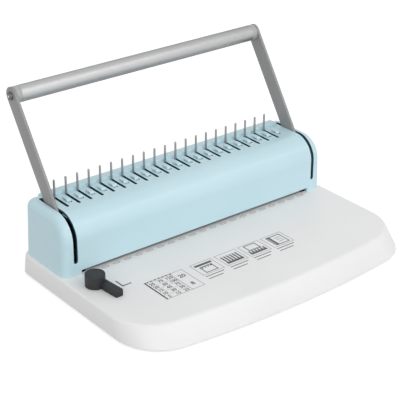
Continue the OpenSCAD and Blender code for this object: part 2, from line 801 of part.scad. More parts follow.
// Outline of a pinion with a gap between teeth towards -y when it is laid in the y-z plane
function pinion_points() =
  let (base_r = pinion_r * cos(pressure_angle),
       tip_r = pinion_r + tooth_tip,
       root_r = pinion_r - tooth_root,
       flank = [for (i = [0:4]) base_r + (tip_r - base_r) * i / 4],
       turn = 360 / pinion_teeth)
  [for (tooth = [0:pinion_teeth - 1]) let (mid = 180 + turn * (tooth + 0.5))
    each concat(
      [polar(root_r, mid - half_tooth(base_r))],
      [for (r = flank) polar(r, mid - half_tooth(r))],
      [for (i = [4:-1:0]) polar(flank[i], mid + half_tooth(flank[i]))],
      [polar(root_r, mid + half_tooth(base_r))])];

function polar(r, a) = [r * cos(a), r * sin(a)];

// Pinions that push the press bar down, with their hubs
module punch_pinions() placed() color(dark_steel) both_sides()
  translate([0, shaft_y, shaft_h]) difference() {
    union() {
      upright(pinion_in, pinion_out) polygon(pinion_points());
      rod_x(hub_d, pinion_in - hub_len, pinion_in + eps);
    }
    rod_x(shaft_d + 2 * press_gap, pinion_in - hub_len - through, pinion_out + through);
    rotate([-arm_lean, 0, 0]) roll_pin_holes();
  }

// Turns its children to the crank's place at rest, leaning back by half of the swing
module on_crank() {
  translate([0, shaft_y, shaft_h]) rotate([-handle_swing / 2, 0, 0]) children();
}

// Cranks that draw the comb carriage forward, with their hubs
module comb_cranks() placed() color(dark_steel) both_sides() difference() {
  on_crank() union() {
    rod_x(hub_d, crank_in, crank_out + hub_len);
    translate([0, 0, crank_r]) rod_x(crank_end_d, crank_in, crank_out);
    block([crank_in, -crank_end_d / 2, 0], [crank_out, crank_end_d / 2, crank_r]);
  }
  translate([0, shaft_y, shaft_h])
    rod_x(shaft_d + 2 * press_gap, crank_in - through, crank_out + hub_len + through);
  on_crank() translate([0, 0, crank_r])
    rod_x(crank_pin_d + 2 * press_gap, crank_in - through, crank_out + through);
  on_arm() roll_pin_holes();
}

// Pins pressed into the cranks, which run in the yokes
module crank_pins() placed() color(steel) both_sides() on_crank() translate([0, 0, crank_r])
  rod_x(crank_pin_d, yoke_in - 1, crank_out);

// Flat arm with a square hole at the shaft and a screw hole at the tube, for the right side
module handle_arm() {
  color(arm_grey) on_arm() difference() {
    union() {
      rod_x(arm_w, arm_in, arm_out);
      translate([0, 0, arm_len]) rod_x(arm_w, arm_in, arm_out);
      block([arm_in, -arm_w / 2, 0], [arm_out, arm_w / 2, arm_len]);
    }
    tang_hole = tang_w / 2 + press_gap;
    block([arm_in - through, -tang_hole, -tang_hole], [arm_out + through, tang_hole, tang_hole]);
    translate([0, 0, arm_len]) rod_x(arm_screw[0] + 2 * press_gap, arm_in - through, arm_out + through);
  }
}

module handle_arm_left() placed() mirror([1, 0, 0]) handle_arm();

module handle_arm_right() placed() handle_arm();

// Washers and screws that clamp the arms on the shaft
module shaft_washers() placed() color(steel) both_sides()
  translate([0, shaft_y, shaft_h]) difference() {
    rod_x(washer_d, arm_out, arm_out + washer_t);
    rod_x(shaft_screw[0] + 2 * press_gap, arm_out - through, arm_out + washer_t + through);
  }

module shaft_screws() placed() color(dark_steel) both_sides()
  translate([arm_out + washer_t, shaft_y, shaft_h]) rotate([0, 90, 0]) screw(shaft_screw, shaft_screw_len);

// Round cross tube of the handle
module handle_tube() placed() color(tube_grey) translate([0, tube_y, tube_z]) difference() {
  rod_x(tube_d, -collar_in, collar_in);
  rod_x(tube_d - 2 * tube_wall, -collar_in - through, collar_in + through);
}

// Plugs in the tube's ends, with collars that meet the arms
module tube_plugs() placed() color(tube_grey) both_sides() translate([0, tube_y, tube_z]) difference() {
  union() {
    rod_x(tube_d, collar_in, arm_in);
    rod_x(tube_d - 2 * tube_wall - 2 * press_gap, plug_in, collar_in + eps);
  }
  rod_x(arm_screw[0] + 2 * press_gap, plug_in - through, arm_in + through);
}

module handle_screws() placed() color(steel) both_sides() translate([arm_out, tube_y, tube_z])
  rotate([0, 90, 0]) screw(arm_screw, arm_screw_len);

// Angle-section bar that pushes all the punches
module press_bar() placed() color(steel) difference() {
  union() {
    block([-bar_half, web_front_y, bar_under], [bar_half, foot_back_y, bar_top]);
    block([-bar_half, web_front_y, bar_top - eps], [bar_half, rack_front_y, bar_top + press_web_h]);
    block([-tongue_half, punch_y - tongue_w / 2, bar_under],
          [tongue_half, punch_y + tongue_w / 2, bar_top]);
  }
  punch_row(press_gap, bar_under - through, bar_under + socket_depth);
  translate([0, punch_y, rod_z])
    rod_x(rod_d + 2 * press_gap, -pattern_half - rod_spare - through, pattern_half + rod_spare + through);
  both_sides() at_rack_screw() {
    screw_hole(small_screw, press_web_t + through);
    cylinder(d = small_screw[1] + 2 * press_gap, h = small_screw[2] + through);
  }
}

// Place of the right-hand screw through the press bar's web, with its head's seat facing forwards
module at_rack_screw() {
  translate([(pinion_in + pinion_out) / 2, web_front_y + small_screw[2], rack_screw_z])
    rotate([90, 0, 0]) children();
}

// Outline of one rack tooth that points to +y, round one height
function rack_tooth(z) =
  let (half = (tooth_pitch / 2 - flank_gap) / 2,
       tip = half - tooth_tip * tan(pressure_angle),
       root = half + tooth_root * tan(pressure_angle))
  [[rack_root_y, z - root], [rack_tip_y, z - tip], [rack_tip_y, z + tip], [rack_root_y, z + root]];

// Racks on the press bar that mesh with the pinions
module press_racks() placed() color(dark_steel) both_sides() difference() {
  first = ceil((bar_top - shaft_h) / tooth_pitch + 0.5);
  last = floor((rack_top - shaft_h) / tooth_pitch - 0.5);
  upright(pinion_in + rack_inset, pinion_out - rack_inset) polygon(concat(
    [[rack_front_y, bar_top], [rack_root_y, bar_top]],
    [for (i = [first:last]) each rack_tooth(shaft_h + i * tooth_pitch)],
    [[rack_root_y, rack_top], [rack_front_y, rack_top]]));
  at_rack_screw() screw_hole(small_screw, rack_screw_len);
}

module rack_screws() placed() color(steel) both_sides() at_rack_screw() screw(small_screw, rack_screw_len);

// Rectangular punches held in the press bar
module punches() placed() color(steel) difference() {
  punch_row(0, punch_tip, bar_under + socket_depth);
  translate([0, punch_y, rod_z]) rod_x(rod_d + 2 * press_gap, -frame_in, frame_in);
}

// Rod through the punches that draws them up again
module retainer_rod() placed() color(dark_steel) translate([0, punch_y, rod_z])
  rod_x(rod_d, -pattern_half - rod_spare, pattern_half + rod_spare);

// Sliding plate under the housing's top that carries the pins
module comb_carriage() placed() color(steel) difference() {
  union() {
    block([-bar_half, carriage_front_y, carriage_h], [bar_half, carriage_back_y, carriage_top]);
    block([-tongue_half, carriage_tongue_y[0], carriage_h],
          [tongue_half, carriage_tongue_y[1], carriage_top]);
  }
  at_comb_pins() translate([0, 0, carriage_h - through])
    cylinder(d = pin_d + 2 * press_gap, h = carriage_t + 2 * through, $fn = 24);
  both_sides() at_yoke_screws() screw_hole(small_screw, yoke_screw_len + through);
}

module at_comb_pins() {
  for (ring = [0:ring_count - 1])
    translate([ring * ring_pitch - pattern_half - ring_pitch / 2, 0, 0]) children();
}

// Round-tipped steel pins, headed under the carriage plate
module comb_pins() placed() color(steel) at_comb_pins() {
  low = carriage_h - pin_head_t;
  dome = housing_top + pin_rise - pin_d / 2;
  translate([0, 0, low]) cylinder(d = pin_head_d, h = pin_head_t, $fn = 24);
  translate([0, 0, low]) cylinder(d = pin_d, h = dome - low, $fn = 24);
  translate([0, 0, dome]) sphere(d = pin_d, $fn = 24);
}

// Forks under the carriage that the crank pins run in
module carriage_yokes() placed() color(dark_steel) both_sides() difference() {
  union() {
    upright(yoke_in, yoke_out) difference() {
      union() {
        translate([yoke_y, yoke_top_z]) circle(d = yoke_slot + 2 * yoke_leg);
        translate([yoke_y - yoke_slot / 2 - yoke_leg, yoke_bottom_z])
          square([yoke_slot + 2 * yoke_leg, yoke_top_z - yoke_bottom_z]);
        translate([yoke_y, yoke_top_z]) square([yoke_back_y - yoke_y, carriage_h - yoke_top_z]);
      }
      translate([yoke_y, yoke_top_z]) circle(d = yoke_slot);
      translate([yoke_y - yoke_slot / 2, yoke_bottom_z - through])
        square([yoke_slot, yoke_top_z - yoke_bottom_z + through]);
    }
    block([yoke_in - yoke_flange[0], yoke_back_y - yoke_flange[1], carriage_h - yoke_flange[2]],
          [yoke_in + eps, yoke_back_y, carriage_h]);
  }
  at_yoke_screws() screw_hole(small_screw, yoke_screw_len + through);
}

// Places of the right-hand yoke's screws, on top of the carriage plate
module at_yoke_screws() {
  for (y = yoke_screw_y) translate([yoke_in - yoke_flange[0] / 2, y, carriage_top]) children();
}

module yoke_screws() placed() color(steel) both_sides() at_yoke_screws() screw(small_screw, yoke_screw_len);

// Black knob whose lever squares up the sheets
module paper_guide_knob() placed() color(knob_black)
  translate([knob_x, knob_y, base_h + knob_seat]) difference() {
    lever_side = lever_w / 2 - lever_corner;
    union() {
      cylinder(d = knob_d, h = knob_h - knob_seat);
      rotate([0, 0, lever_turn]) translate([lever_shift, 0, 0]) hull()
        for (x = [-lever_side, lever_side], y = [-lever_corner, -lever_len + lever_corner])
          translate([x, y, 0]) cylinder(r = lever_corner, h = lever_h - knob_seat, $fn = 24);
    }
    translate([0, 0, -through])
      cylinder(d = spindle_d + 2 * press_gap, h = knob_h - knob_crown + through);
  }

// Spindle pressed into the knob, with a groove for its clip
module knob_spindle() placed() color(steel) translate([knob_x, knob_y, 0]) difference() {
  low = skin_under - spindle_below;
  translate([0, 0, low]) cylinder(d = spindle_d, h = base_h + knob_h - knob_crown - low);
  translate([0, 0, skin_under - knob_seat - clip_t]) difference() {
    cylinder(d = clip_d, h = clip_t);
    cylinder(d = spindle_d - clip_groove, h = clip_t);
  }
}

// Spring clip under the platform that keeps the spindle in
module knob_clip() placed() color(dark_steel)
  translate([knob_x, knob_y, skin_under - knob_seat - clip_t + press_gap]) difference() {
    cylinder(d = clip_d, h = clip_t - 2 * press_gap);
    translate([0, 0, -through])
      cylinder(d = spindle_d - clip_groove + 2 * press_gap, h = clip_t + 2 * through);
  }

base_shell();
bottom_cover();
rubber_feet();
cover_screws();
chip_tray();
die_plate();
throat_spacers();
paper_stop();
punch_guide();
die_screws();
side_frame_left();
side_frame_right();
frame_screws();
shaft_bushes();
stop_pins();
hook_rail();
rail_screws();
upper_housing();
housing_screws();
main_shaft();
punch_pinions();
comb_cranks();
crank_pins();
roll_pins();
handle_arm_left();
handle_arm_right();
shaft_washers();
shaft_screws();
handle_tube();
tube_plugs();
handle_screws();
press_bar();
press_racks();
rack_screws();
punches();
retainer_rod();
comb_carriage();
carriage_yokes();
yoke_screws();
comb_pins();
paper_guide_knob();
knob_spindle();
knob_clip();
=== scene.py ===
import json
import math

import bmesh
import bpy
from mathutils import Matrix, Vector


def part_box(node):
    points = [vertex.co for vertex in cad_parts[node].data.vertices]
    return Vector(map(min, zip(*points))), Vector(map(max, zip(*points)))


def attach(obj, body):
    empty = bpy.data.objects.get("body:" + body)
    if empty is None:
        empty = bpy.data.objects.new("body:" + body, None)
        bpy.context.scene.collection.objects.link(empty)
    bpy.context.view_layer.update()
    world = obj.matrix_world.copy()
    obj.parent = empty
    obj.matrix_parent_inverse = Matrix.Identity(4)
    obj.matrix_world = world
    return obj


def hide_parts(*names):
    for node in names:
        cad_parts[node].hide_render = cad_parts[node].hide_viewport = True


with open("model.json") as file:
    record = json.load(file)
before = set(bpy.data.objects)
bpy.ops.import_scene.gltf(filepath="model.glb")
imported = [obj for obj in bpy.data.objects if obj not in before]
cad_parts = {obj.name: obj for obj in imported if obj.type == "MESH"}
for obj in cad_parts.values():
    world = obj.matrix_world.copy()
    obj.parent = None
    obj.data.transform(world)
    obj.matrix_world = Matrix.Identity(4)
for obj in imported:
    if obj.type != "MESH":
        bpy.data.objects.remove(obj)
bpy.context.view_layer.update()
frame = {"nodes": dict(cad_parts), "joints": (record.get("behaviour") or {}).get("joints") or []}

# Base moulding: a low hollow platform with a bulging, sloping front and soft edges.
# It is injection moulded in white satin plastic, open underneath, with a seat for the die
# and an opening for the chip drawer in its right side.
mm = 0.001
near = 0.01 * mm
up = (0, 0, 1)
base_low, base_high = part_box("base_shell")
base_wall = 2.5 * mm
base_flare = 2.5 * mm
base_slope = 17.5 * mm
base_bulge = 1150 * mm
base_front_corner = 50 * mm
base_rear_corner = 12 * mm
base_top_edge = 2.6 * mm
base_foot_edge = 1.2 * mm
base_half = base_high.x - base_flare
base_front = base_low.y + base_slope


def deselect_all():
    """Clears the selection, so that the next operator acts on the new piece alone."""
    if bpy.context.object and bpy.context.object.mode != "OBJECT":
        bpy.ops.object.mode_set(mode="OBJECT")
    bpy.ops.object.select_all(action="DESELECT")


def open_piece(name):
    """Names the primitive just added, puts its place into its mesh and opens it for editing."""
    piece = bpy.context.object
    piece.name = name
    piece.data.name = name
    bpy.ops.object.transform_apply(location=True, rotation=True, scale=True)
    bpy.ops.object.mode_set(mode="EDIT")
    return piece


def add_point(name, place):
    """One vertex from which an outline is drawn, open for editing."""
    deselect_all()
    bpy.ops.mesh.primitive_plane_add(size=mm, location=place)
    piece = open_piece(name)
    bpy.ops.mesh.select_mode(type="VERT")
    bpy.ops.mesh.select_all(action="SELECT")
    bpy.ops.mesh.merge(type="CENTER")
    return piece


def extrude(step):
    """Extrudes what is selected by one step."""
    bpy.ops.mesh.extrude_region_move(TRANSFORM_OT_translate={"value": step})


def turn(centre, axis, angle, steps):
    """Draws the selected vertices on round a centre, anticlockwise as seen against the axis."""
    bpy.ops.mesh.spin(steps=steps, angle=-angle, center=centre, axis=axis)


corner_x = base_half - base_front_corner
bulge_inner = base_bulge - base_front_corner
corner_y = base_front + base_bulge - math.sqrt(bulge_inner ** 2 - corner_x ** 2)
bulge_turn = math.asin(corner_x / bulge_inner)
rear_x = base_half - base_rear_corner
rear_y = base_high.y - base_rear_corner
base = add_point("base_moulding", (0, base_front, base_high.z))
turn((0, base_front + base_bulge, base_high.z), up, bulge_turn, steps=24)
turn((corner_x, corner_y, base_high.z), up, math.pi / 2 - bulge_turn, steps=24)
extrude((0, rear_y - corner_y, 0))
turn((rear_x, rear_y, base_high.z), up, math.pi / 2, steps=12)
extrude((-rear_x, 0, 0))


def modify(piece, kind, **settings):
    """Adds a modifier to a piece and applies it."""
    deselect_all()
    bpy.context.view_layer.objects.active = piece
    piece.select_set(True)
    modifier = piece.modifiers.new(kind.title(), kind)
    for key, value in settings.items():
        setattr(modifier, key, value)
    bpy.ops.object.modifier_apply(modifier=modifier.name)


def recalculate():
    """Merges doubles in the open piece and turns its faces outwards."""
    bpy.ops.mesh.select_mode(type="VERT")
    bpy.ops.mesh.select_all(action="SELECT")
    bpy.ops.mesh.remove_doubles(threshold=near)
    bpy.ops.mesh.normals_make_consistent(inside=False)


modify(base, "MIRROR", use_axis=(True, False, False), merge_threshold=near)
bpy.ops.object.mode_set(mode="EDIT")
bpy.ops.mesh.select_all(action="SELECT")
bpy.ops.mesh.edge_face_add()
extrude((0, 0, base_low.z - base_high.z))
foot_spread = (base_high.x / base_half, (base_high.y - base_low.y) / (base_high.y - base_front), 1)
bpy.ops.transform.resize(value=foot_spread, center_override=(0, base_high.y, base_low.z))
recalculate()


def pick(kind, test):
    """Selects the vertices, edges or faces of the open piece whose place and direction pass a test."""
    bpy.ops.mesh.select_mode(type=kind)
    bpy.ops.mesh.select_all(action="DESELECT")
    mesh = bpy.context.object.data
    shape = bmesh.from_edit_mesh(mesh)
    if kind == "VERT":
        found = [vertex for vertex in shape.verts if test(vertex.co, vertex.normal)]
    elif kind == "EDGE":
        found = []
        for edge in shape.edges:
            start, end = (vertex.co for vertex in edge.verts)
            if test((start + end) / 2, (end - start).normalized()):
                found.append(edge)
    else:
        found = [face for face in shape.faces if test(face.calc_center_median(), face.normal)]
    for element in found:
        element.select_set(True)
    shape.select_flush_mode()
    bmesh.update_edit_mesh(mesh)


def soften(width, segments):
    """Rounds the selected edges."""
    bpy.ops.mesh.bevel(offset=width, segments=segments, profile=0.5, affect="EDGES", clamp_overlap=False)


def level_rim(piece, height):
    """Brings the lower rim of a hollow moulding to one height."""
    deselect_all()
    bpy.context.view_layer.objects.active = piece
    bpy.ops.object.mode_set(mode="EDIT")
    pick("VERT", lambda at, way: at.z < height + near)
    bpy.ops.transform.resize(value=(1, 1, 0), center_override=(0, 0, height))
    bpy.ops.object.mode_set(mode="OBJECT")


pick("EDGE", lambda at, way: at.z > base_high.z - near)
soften(base_top_edge, segments=6)
pick("EDGE", lambda at, way: at.z < base_low.z + near)
soften(base_foot_edge, segments=3)
pick("FACE", lambda at, way: at.z < base_low.z + near)
bpy.ops.mesh.delete(type="FACE")
modify(base, "SOLIDIFY", thickness=base_wall, offset=-1, use_even_offset=True)
level_rim(base, base_low.z)


def new_material(name):
    """An empty node material: its nodes, its links, its shader and its coordinates on the piece."""
    material = bpy.data.materials.new(name)
    material.use_nodes = True
    nodes = material.node_tree.nodes
    links = material.node_tree.links
    shader = nodes["Principled BSDF"]
    place = nodes.new("ShaderNodeTexCoord").outputs["Object"]
    return material, nodes, links, shader, place


def add_noise(nodes, links, place, scale, detail=2.0, roughness=0.5):
    """A noise texture over the piece; its scale counts features for each metre."""
    noise = nodes.new("ShaderNodeTexNoise")
    noise.inputs["Scale"].default_value = scale
    noise.inputs["Detail"].default_value = detail
    noise.inputs["Roughness"].default_value = roughness
    links.new(place, noise.inputs["Vector"])
    return noise.outputs["Fac"]


def blend_colours(nodes, links, amount, dark, light):
    """A colour that runs from dark to light as an amount runs from 0.3 to 0.7."""
    ramp = nodes.new("ShaderNodeValToRGB")
    ramp.color_ramp.elements[0].position = 0.3
    ramp.color_ramp.elements[0].color = (*dark, 1)
    ramp.color_ramp.elements[1].position = 0.7
    ramp.color_ramp.elements[1].color = (*light, 1)
    links.new(amount, ramp.inputs["Fac"])
    return ramp.outputs["Color"]


def span(nodes, links, amount, low, high):
    """A number that runs from low to high as an amount runs from 0.25 to 0.75."""
    reach = nodes.new("ShaderNodeMapRange")
    reach.inputs["From Min"].default_value = 0.25
    reach.inputs["From Max"].default_value = 0.75
    reach.inputs["To Min"].default_value = low
    reach.inputs["To Max"].default_value = high
    links.new(amount, reach.inputs["Value"])
    return reach.outputs["Result"]


def add_bump(nodes, links, shader, height, strength, depth):
    """Raises the surface by a height texture."""
    bump = nodes.new("ShaderNodeBump")
    bump.inputs["Strength"].default_value = strength
    bump.inputs["Distance"].default_value = depth
    links.new(height, bump.inputs["Height"])
    links.new(bump.outputs["Normal"], shader.inputs["Normal"])


def moulded_plastic(name, dark, light, gloss, grain):
    """Satin moulded plastic: faint clouds in its colour, an eroded grain and uneven gloss."""
    material, nodes, links, shader, place = new_material(name)
    clouds = add_noise(nodes, links, place, scale=9, detail=4)
    links.new(blend_colours(nodes, links, clouds, dark, light), shader.inputs["Base Color"])
    wiped = add_noise(nodes, links, place, scale=45, detail=3)
    links.new(span(nodes, links, wiped, gloss - 0.02, gloss + 0.03), shader.inputs["Roughness"])
    spark = add_noise(nodes, links, place, scale=grain, detail=3, roughness=0.6)
    add_bump(nodes, links, shader, spark, strength=0.22, depth=0.06 * mm)
    return material


def paint(piece, finish):
    """Gives a piece its main finish, before any cut adds another."""
    piece.data.materials.clear()
    piece.data.materials.append(finish)


paint(base, moulded_plastic("white_moulding", dark=(0.80, 0.80, 0.80), light=(0.84, 0.84, 0.837),
                            gloss=0.38, grain=2600))


def add_block(name, low, high):
    """A block between two corners, open for editing."""
    deselect_all()
    low, high = Vector(low), Vector(high)
    bpy.ops.mesh.primitive_cube_add(size=1, location=(low + high) / 2, scale=high - low)
    return open_piece(name)


def combine(piece, tool, operation):
    """Cuts a closed shape out of a piece, or fuses the two, and discards the shape."""
    modify(piece, "BOOLEAN", operation=operation, solver="EXACT", material_mode="TRANSFER", object=tool)
    bpy.data.objects.remove(tool)


die_low, die_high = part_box("die_plate")
die_gap = Vector((0.3 * mm, 0.3 * mm, 6 * mm))
combine(base, add_block("die_seat", die_low - die_gap, die_high + die_gap), "DIFFERENCE")
tray_low, tray_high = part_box("chip_tray")
drawer_gap = 0.3 * mm
drawer_bay = 8 * mm
opening_low = (base_half - drawer_bay, tray_low.y - drawer_gap, base_low.z - mm)
opening_high = (base_high.x + mm, tray_high.y + drawer_gap, tray_high.z + drawer_gap)
combine(base, add_block("drawer_opening", opening_low, opening_high), "DIFFERENCE")

smooth_below = math.radians(35)


def finish_piece(piece, body, node):
    """Smooths a piece's curves and sets it in the place of its CAD node."""
    deselect_all()
    bpy.context.view_layer.objects.active = piece
    piece.select_set(True)
    bpy.ops.object.shade_smooth_by_angle(angle=smooth_below)
    piece.select_set(False)
    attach(piece, body)
    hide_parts(node)


finish_piece(base, "base", "base_shell")

# Prints on the platform: a size chart, four small drawings of the steps, a corner mark for the
# sheets and an oval in front of each punch. They are pad printed in greys and a pale red, so
# each stroke is a skin of ink on the white moulding.
pins_low, pins_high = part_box("comb_pins")
pin_y = (pins_low.y + pins_high.y) / 2
ink_t = 0.05 * mm
chart_rows = 5
chart_columns = 3
chart_unit = 5
number_place = 0.55
boldness = 0.025

# Sizes of the drawings, in millimetres across from the machine's middle and back from its pins.
thin_line = 0.7
line = 1.2
bold_line = 1.6
chart_left = -118
chart_split = -86
chart_right = -70
chart_front = -149.5
chart_back = -110
chart_head = 3
number_height = 6
total_height = 8
total_front = 10
total_step = 18
step_lefts = (-60, -27.5, 4.5, 36.5)
step_front = -134.5
step_wide = 28
step_deep = 24.5
mark_left = -138
mark_front = -101.5
mark_wide = 11.5
mark_deep = 13


def outline(left, front, right, back, width):
    """Four strokes round a rectangle."""
    return [(left, front, right, front + width), (left, back - width, right, back),
            (left, front, left + width, back), (right - width, front, right, back)]


def row_of(count, step, left, front, width, depth):
    """Equal strokes side by side."""
    return [(left + step * i, front, left + step * i + width, front + depth) for i in range(count)]


def in_step(left, strokes):
    """Moves strokes that are drawn from a step's front left corner to that step's place."""
    return [(left + x0, step_front + y0, left + x1, step_front + y1) for x0, y0, x1, y1 in strokes]


def print_strokes(name, strokes):
    """Flat strokes between two corners, in millimetres across from the middle and back from the pins."""
    piece = None
    deselect_all()
    for left, front, right, back in strokes:
        low = Vector((left * mm, pin_y + front * mm, base_high.z - ink_t))
        high = Vector((right * mm, pin_y + back * mm, base_high.z + ink_t))
        bpy.ops.mesh.primitive_cube_add(size=1, location=(low + high) / 2, scale=high - low)
        if piece is None:
            piece = open_piece(name)
    return piece


def print_number(number, x, y, height):
    """A plain bold number on the platform, made a closed mesh."""
    deselect_all()
    bpy.ops.object.text_add()
    text = bpy.context.object.data
    text.body = str(number)
    text.align_x = "CENTER"
    text.align_y = "CENTER"
    text.size = height * mm
    text.offset = boldness * text.size
    text.extrude = ink_t
    bpy.ops.object.convert(target="MESH")
    bpy.context.object.location = (x * mm, pin_y + y * mm, base_high.z)
    piece = open_piece("number")
    recalculate()
    deselect_all()
    return piece


grey_strokes = outline(chart_left, chart_front, chart_right, chart_back, thin_line)
grey_strokes.append((chart_split, chart_front, chart_split + thin_line, chart_back))
dark_strokes = [(chart_left, chart_front, chart_left + bold_line, chart_back)]
dark_strokes += row_of(count=7, step=4.8, left=chart_left + 2.4, front=chart_back - bold_line,
                       width=2.6, depth=bold_line)
dark_numbers = []
row_step = (chart_back - chart_front - chart_head) / chart_rows
column_step = (chart_split - chart_left) / chart_columns
for row in range(chart_rows):
    row_y = chart_front + row_step * (row + 0.5)
    row_back = row_y + row_step / 2
    grey_strokes.append((chart_left, row_back, chart_split, row_back + thin_line / 2))
    for column in range(chart_columns):
        column_x = chart_left + column_step * (column + number_place)
        number = chart_unit * (row + 1) * (2 * column + 1)
        dark_numbers.append(print_number(number, column_x, row_y, number_height))
total_x = (chart_split + chart_right) / 2
for row, total in enumerate((8, 20)):
    total_y = chart_front + total_front + total_step * row
    dark_numbers.append(print_number(total, total_x, total_y, total_height))

captions = [(0, front, wide, front + line) for front, wide in ((-4.1, 24), (-9.1, 19))]
comb_spine = [(3, 3, 25, 6.5)]
comb_teeth = {"count": 6, "step": 3.8, "left": 3.6, "front": 6.5, "width": 2}
sheet_drawing = [(3, 17.5, 25, 21)] + outline(6, 2.5, 22, 15.5, line)
sheet_drawing += row_of(count=4, step=3.6, left=8, front=12, width=1.8, depth=2)
comb_drawing = comb_spine + row_of(depth=12, **comb_teeth)
thread_drawing = comb_spine + row_of(depth=4, **comb_teeth) + outline(6, 11, 22, 22.5, line)
book_drawing = outline(5, 2.5, 24, 21.5, line) + [(7, 2.5, 10, 21.5)]
page_lines = [(13, 15.5 - 4 * i, 21, 16.5 - 4 * i) for i in range(3)]
for left, drawing in zip(step_lefts, (sheet_drawing, comb_drawing, thread_drawing, book_drawing)):
    grey_strokes += in_step(left, outline(0, 0, step_wide, step_deep, thin_line))
    dark_strokes += in_step(left, captions + drawing)
grey_strokes += in_step(step_lefts[-1], page_lines)
dark_strokes += [(mark_left, mark_front, mark_left + bold_line, mark_front + mark_deep),
                 (mark_left, mark_front, mark_left + mark_wide, mark_front + bold_line)]


def ink(name, dark, light):
    """Printing ink: nearly matte, a little thinner in places."""
    material, nodes, links, shader, place = new_material(name)
    cover = add_noise(nodes, links, place, scale=600, detail=3, roughness=0.6)
    links.new(blend_colours(nodes, links, cover, dark, light), shader.inputs["Base Color"])
    links.new(span(nodes, links, cover, 0.5, 0.65), shader.inputs["Roughness"])
    return material


def finish_print(piece, colour):
    """Inks a print and sets it on the base."""
    deselect_all()
    paint(piece, colour)
    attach(piece, "base")


def join(pieces, name):
    """Joins pieces that belong together and names the result."""
    deselect_all()
    for piece in pieces:
        piece.select_set(True)
    bpy.context.view_layer.objects.active = pieces[0]
    bpy.ops.object.join()
    pieces[0].name = name
    pieces[0].data.name = name
    return pieces[0]


finish_print(print_strokes("platform_print_grey", grey_strokes),
             ink("grey_ink", dark=(0.30, 0.30, 0.305), light=(0.37, 0.37, 0.375)))
dark_print = join([print_strokes("dark_strokes", dark_strokes)] + dark_numbers, "platform_print_dark")
finish_print(dark_print, ink("dark_ink", dark=(0.085, 0.085, 0.09), light=(0.125, 0.125, 0.13)))

pitch = 14.2875 * mm
ring_count = 21
pattern_half = (ring_count - 1) / 2 * pitch
oval_half = Vector((4.7 * mm, 2.0 * mm, 0))
oval_stroke = 1.1 * mm
oval_y = pin_y - 57.8 * mm
red_every = 5


def print_oval(name):
    """A flat oval ring of ink at the middle of the machine."""
    deselect_all()
    oval_at = (0, oval_y, base_high.z)
    bpy.ops.mesh.primitive_circle_add(vertices=32, radius=oval_half.x, fill_type="NGON", location=oval_at)
    oval = open_piece(name)
    bpy.ops.mesh.select_all(action="SELECT")
    bpy.ops.transform.resize(value=(1, oval_half.y / oval_half.x, 1), center_override=oval_at)
    bpy.ops.mesh.inset(thickness=oval_stroke, depth=0)
    bpy.ops.mesh.delete(type="FACE")
    modify(oval, "SOLIDIFY", thickness=2 * ink_t, offset=0)
    return oval


def copies(piece, places, name):
    """Copies of a piece at several places, each with a mesh of its own, joined under one name."""
    deselect_all()
    made = []
    for place in places:
        copy = piece.copy()
        copy.data = piece.data.copy()
        copy.data.transform(Matrix.Translation(place))
        bpy.context.scene.collection.objects.link(copy)
        made.append(copy)
    bpy.data.objects.remove(piece)
    return join(made, name)


rings = range(ring_count)
ring_places = [Vector((ring * pitch - pattern_half, 0, 0)) for ring in rings]
red_places = [ring_places[ring] for ring in rings if ring % red_every == 0]
pale_places = [ring_places[ring] for ring in rings if ring % red_every]
finish_print(copies(print_oval("red_oval"), red_places, "punch_marks_red"),
             ink("red_ink", dark=(0.60, 0.44, 0.42), light=(0.66, 0.50, 0.48)))
finish_print(copies(print_oval("pale_oval"), pale_places, "punch_marks_pale"),
             ink("pale_ink", dark=(0.48, 0.455, 0.44), light=(0.55, 0.525, 0.51)))

# Bottom cover, feet and cover screws: a grey coated steel sheet closes the base from below.
# Four rubber feet are pressed into it, and six cross-recessed screws hold it to the base's bosses.
foot_r = 9 * mm
foot_stem_r = 4.5 * mm
foot_stem_h = 2.5 * mm
foot_edge = 0.9 * mm
foot_hollow = 0.5 * mm
foot_places = ((146, 6), (150, -165))
cover_head_r = 2.8 * mm
cover_head_h = 1.4 * mm
cover_head_round = 0.84 * mm
cover_shank_r = 1.5 * mm
cover_shank_len = 9 * mm
cross_half = 1.7 * mm
cross_wing = 0.35 * mm
cross_depth = 0.9 * mm
cover_screw_places = ((120, 13), (168, -110), (110, -180))


def satin_paint(name, dark, light, gloss, metal):
    """Sprayed paint: fine orange peel, a few clouds and a little metal flake."""
    material, nodes, links, shader, place = new_material(name)
    flake = add_noise(nodes, links, place, scale=900)
    links.new(blend_colours(nodes, links, flake, dark, light), shader.inputs["Base Color"])
    wiped = add_noise(nodes, links, place, scale=40, detail=3)
    links.new(span(nodes, links, wiped, gloss - 0.04, gloss + 0.05), shader.inputs["Roughness"])
    peel = add_noise(nodes, links, place, scale=700)
    add_bump(nodes, links, shader, peel, strength=0.12, depth=0.05 * mm)
    shader.inputs["Metallic"].default_value = metal
    return material


def dress(finish, *nodes):
    """Gives its finish to each CAD node that keeps its own shape."""
    for node in nodes:
        for material_slot in frame["nodes"][node].material_slots:
            material_slot.material = finish


dress(satin_paint("cover_grey", dark=(0.30, 0.31, 0.32), light=(0.36, 0.37, 0.38), gloss=0.50, metal=0.2),
      "bottom_cover")


def add_disc(name, place, radius, height, sides=48):
    """An upright cylinder standing on a place, open for editing."""
    deselect_all()
    middle = Vector(place) + Vector((0, 0, height / 2))
    bpy.ops.mesh.primitive_cylinder_add(vertices=sides, radius=radius, depth=height, location=middle)
    return open_piece(name)


def on_both_sides(places):
    """Places given in millimetres from the pins' middle, with their mirror places."""
    return [Vector((side * x * mm, pin_y + y * mm, 0)) for x, y in places for side in (-1, 1)]


# A direction counts as along an axis above the first share and as square to it below the second.
# The edges of a round rim have their middles in a thin band inside its radius.
along = 0.9
square = 0.1
rim_band = 0.1 * mm

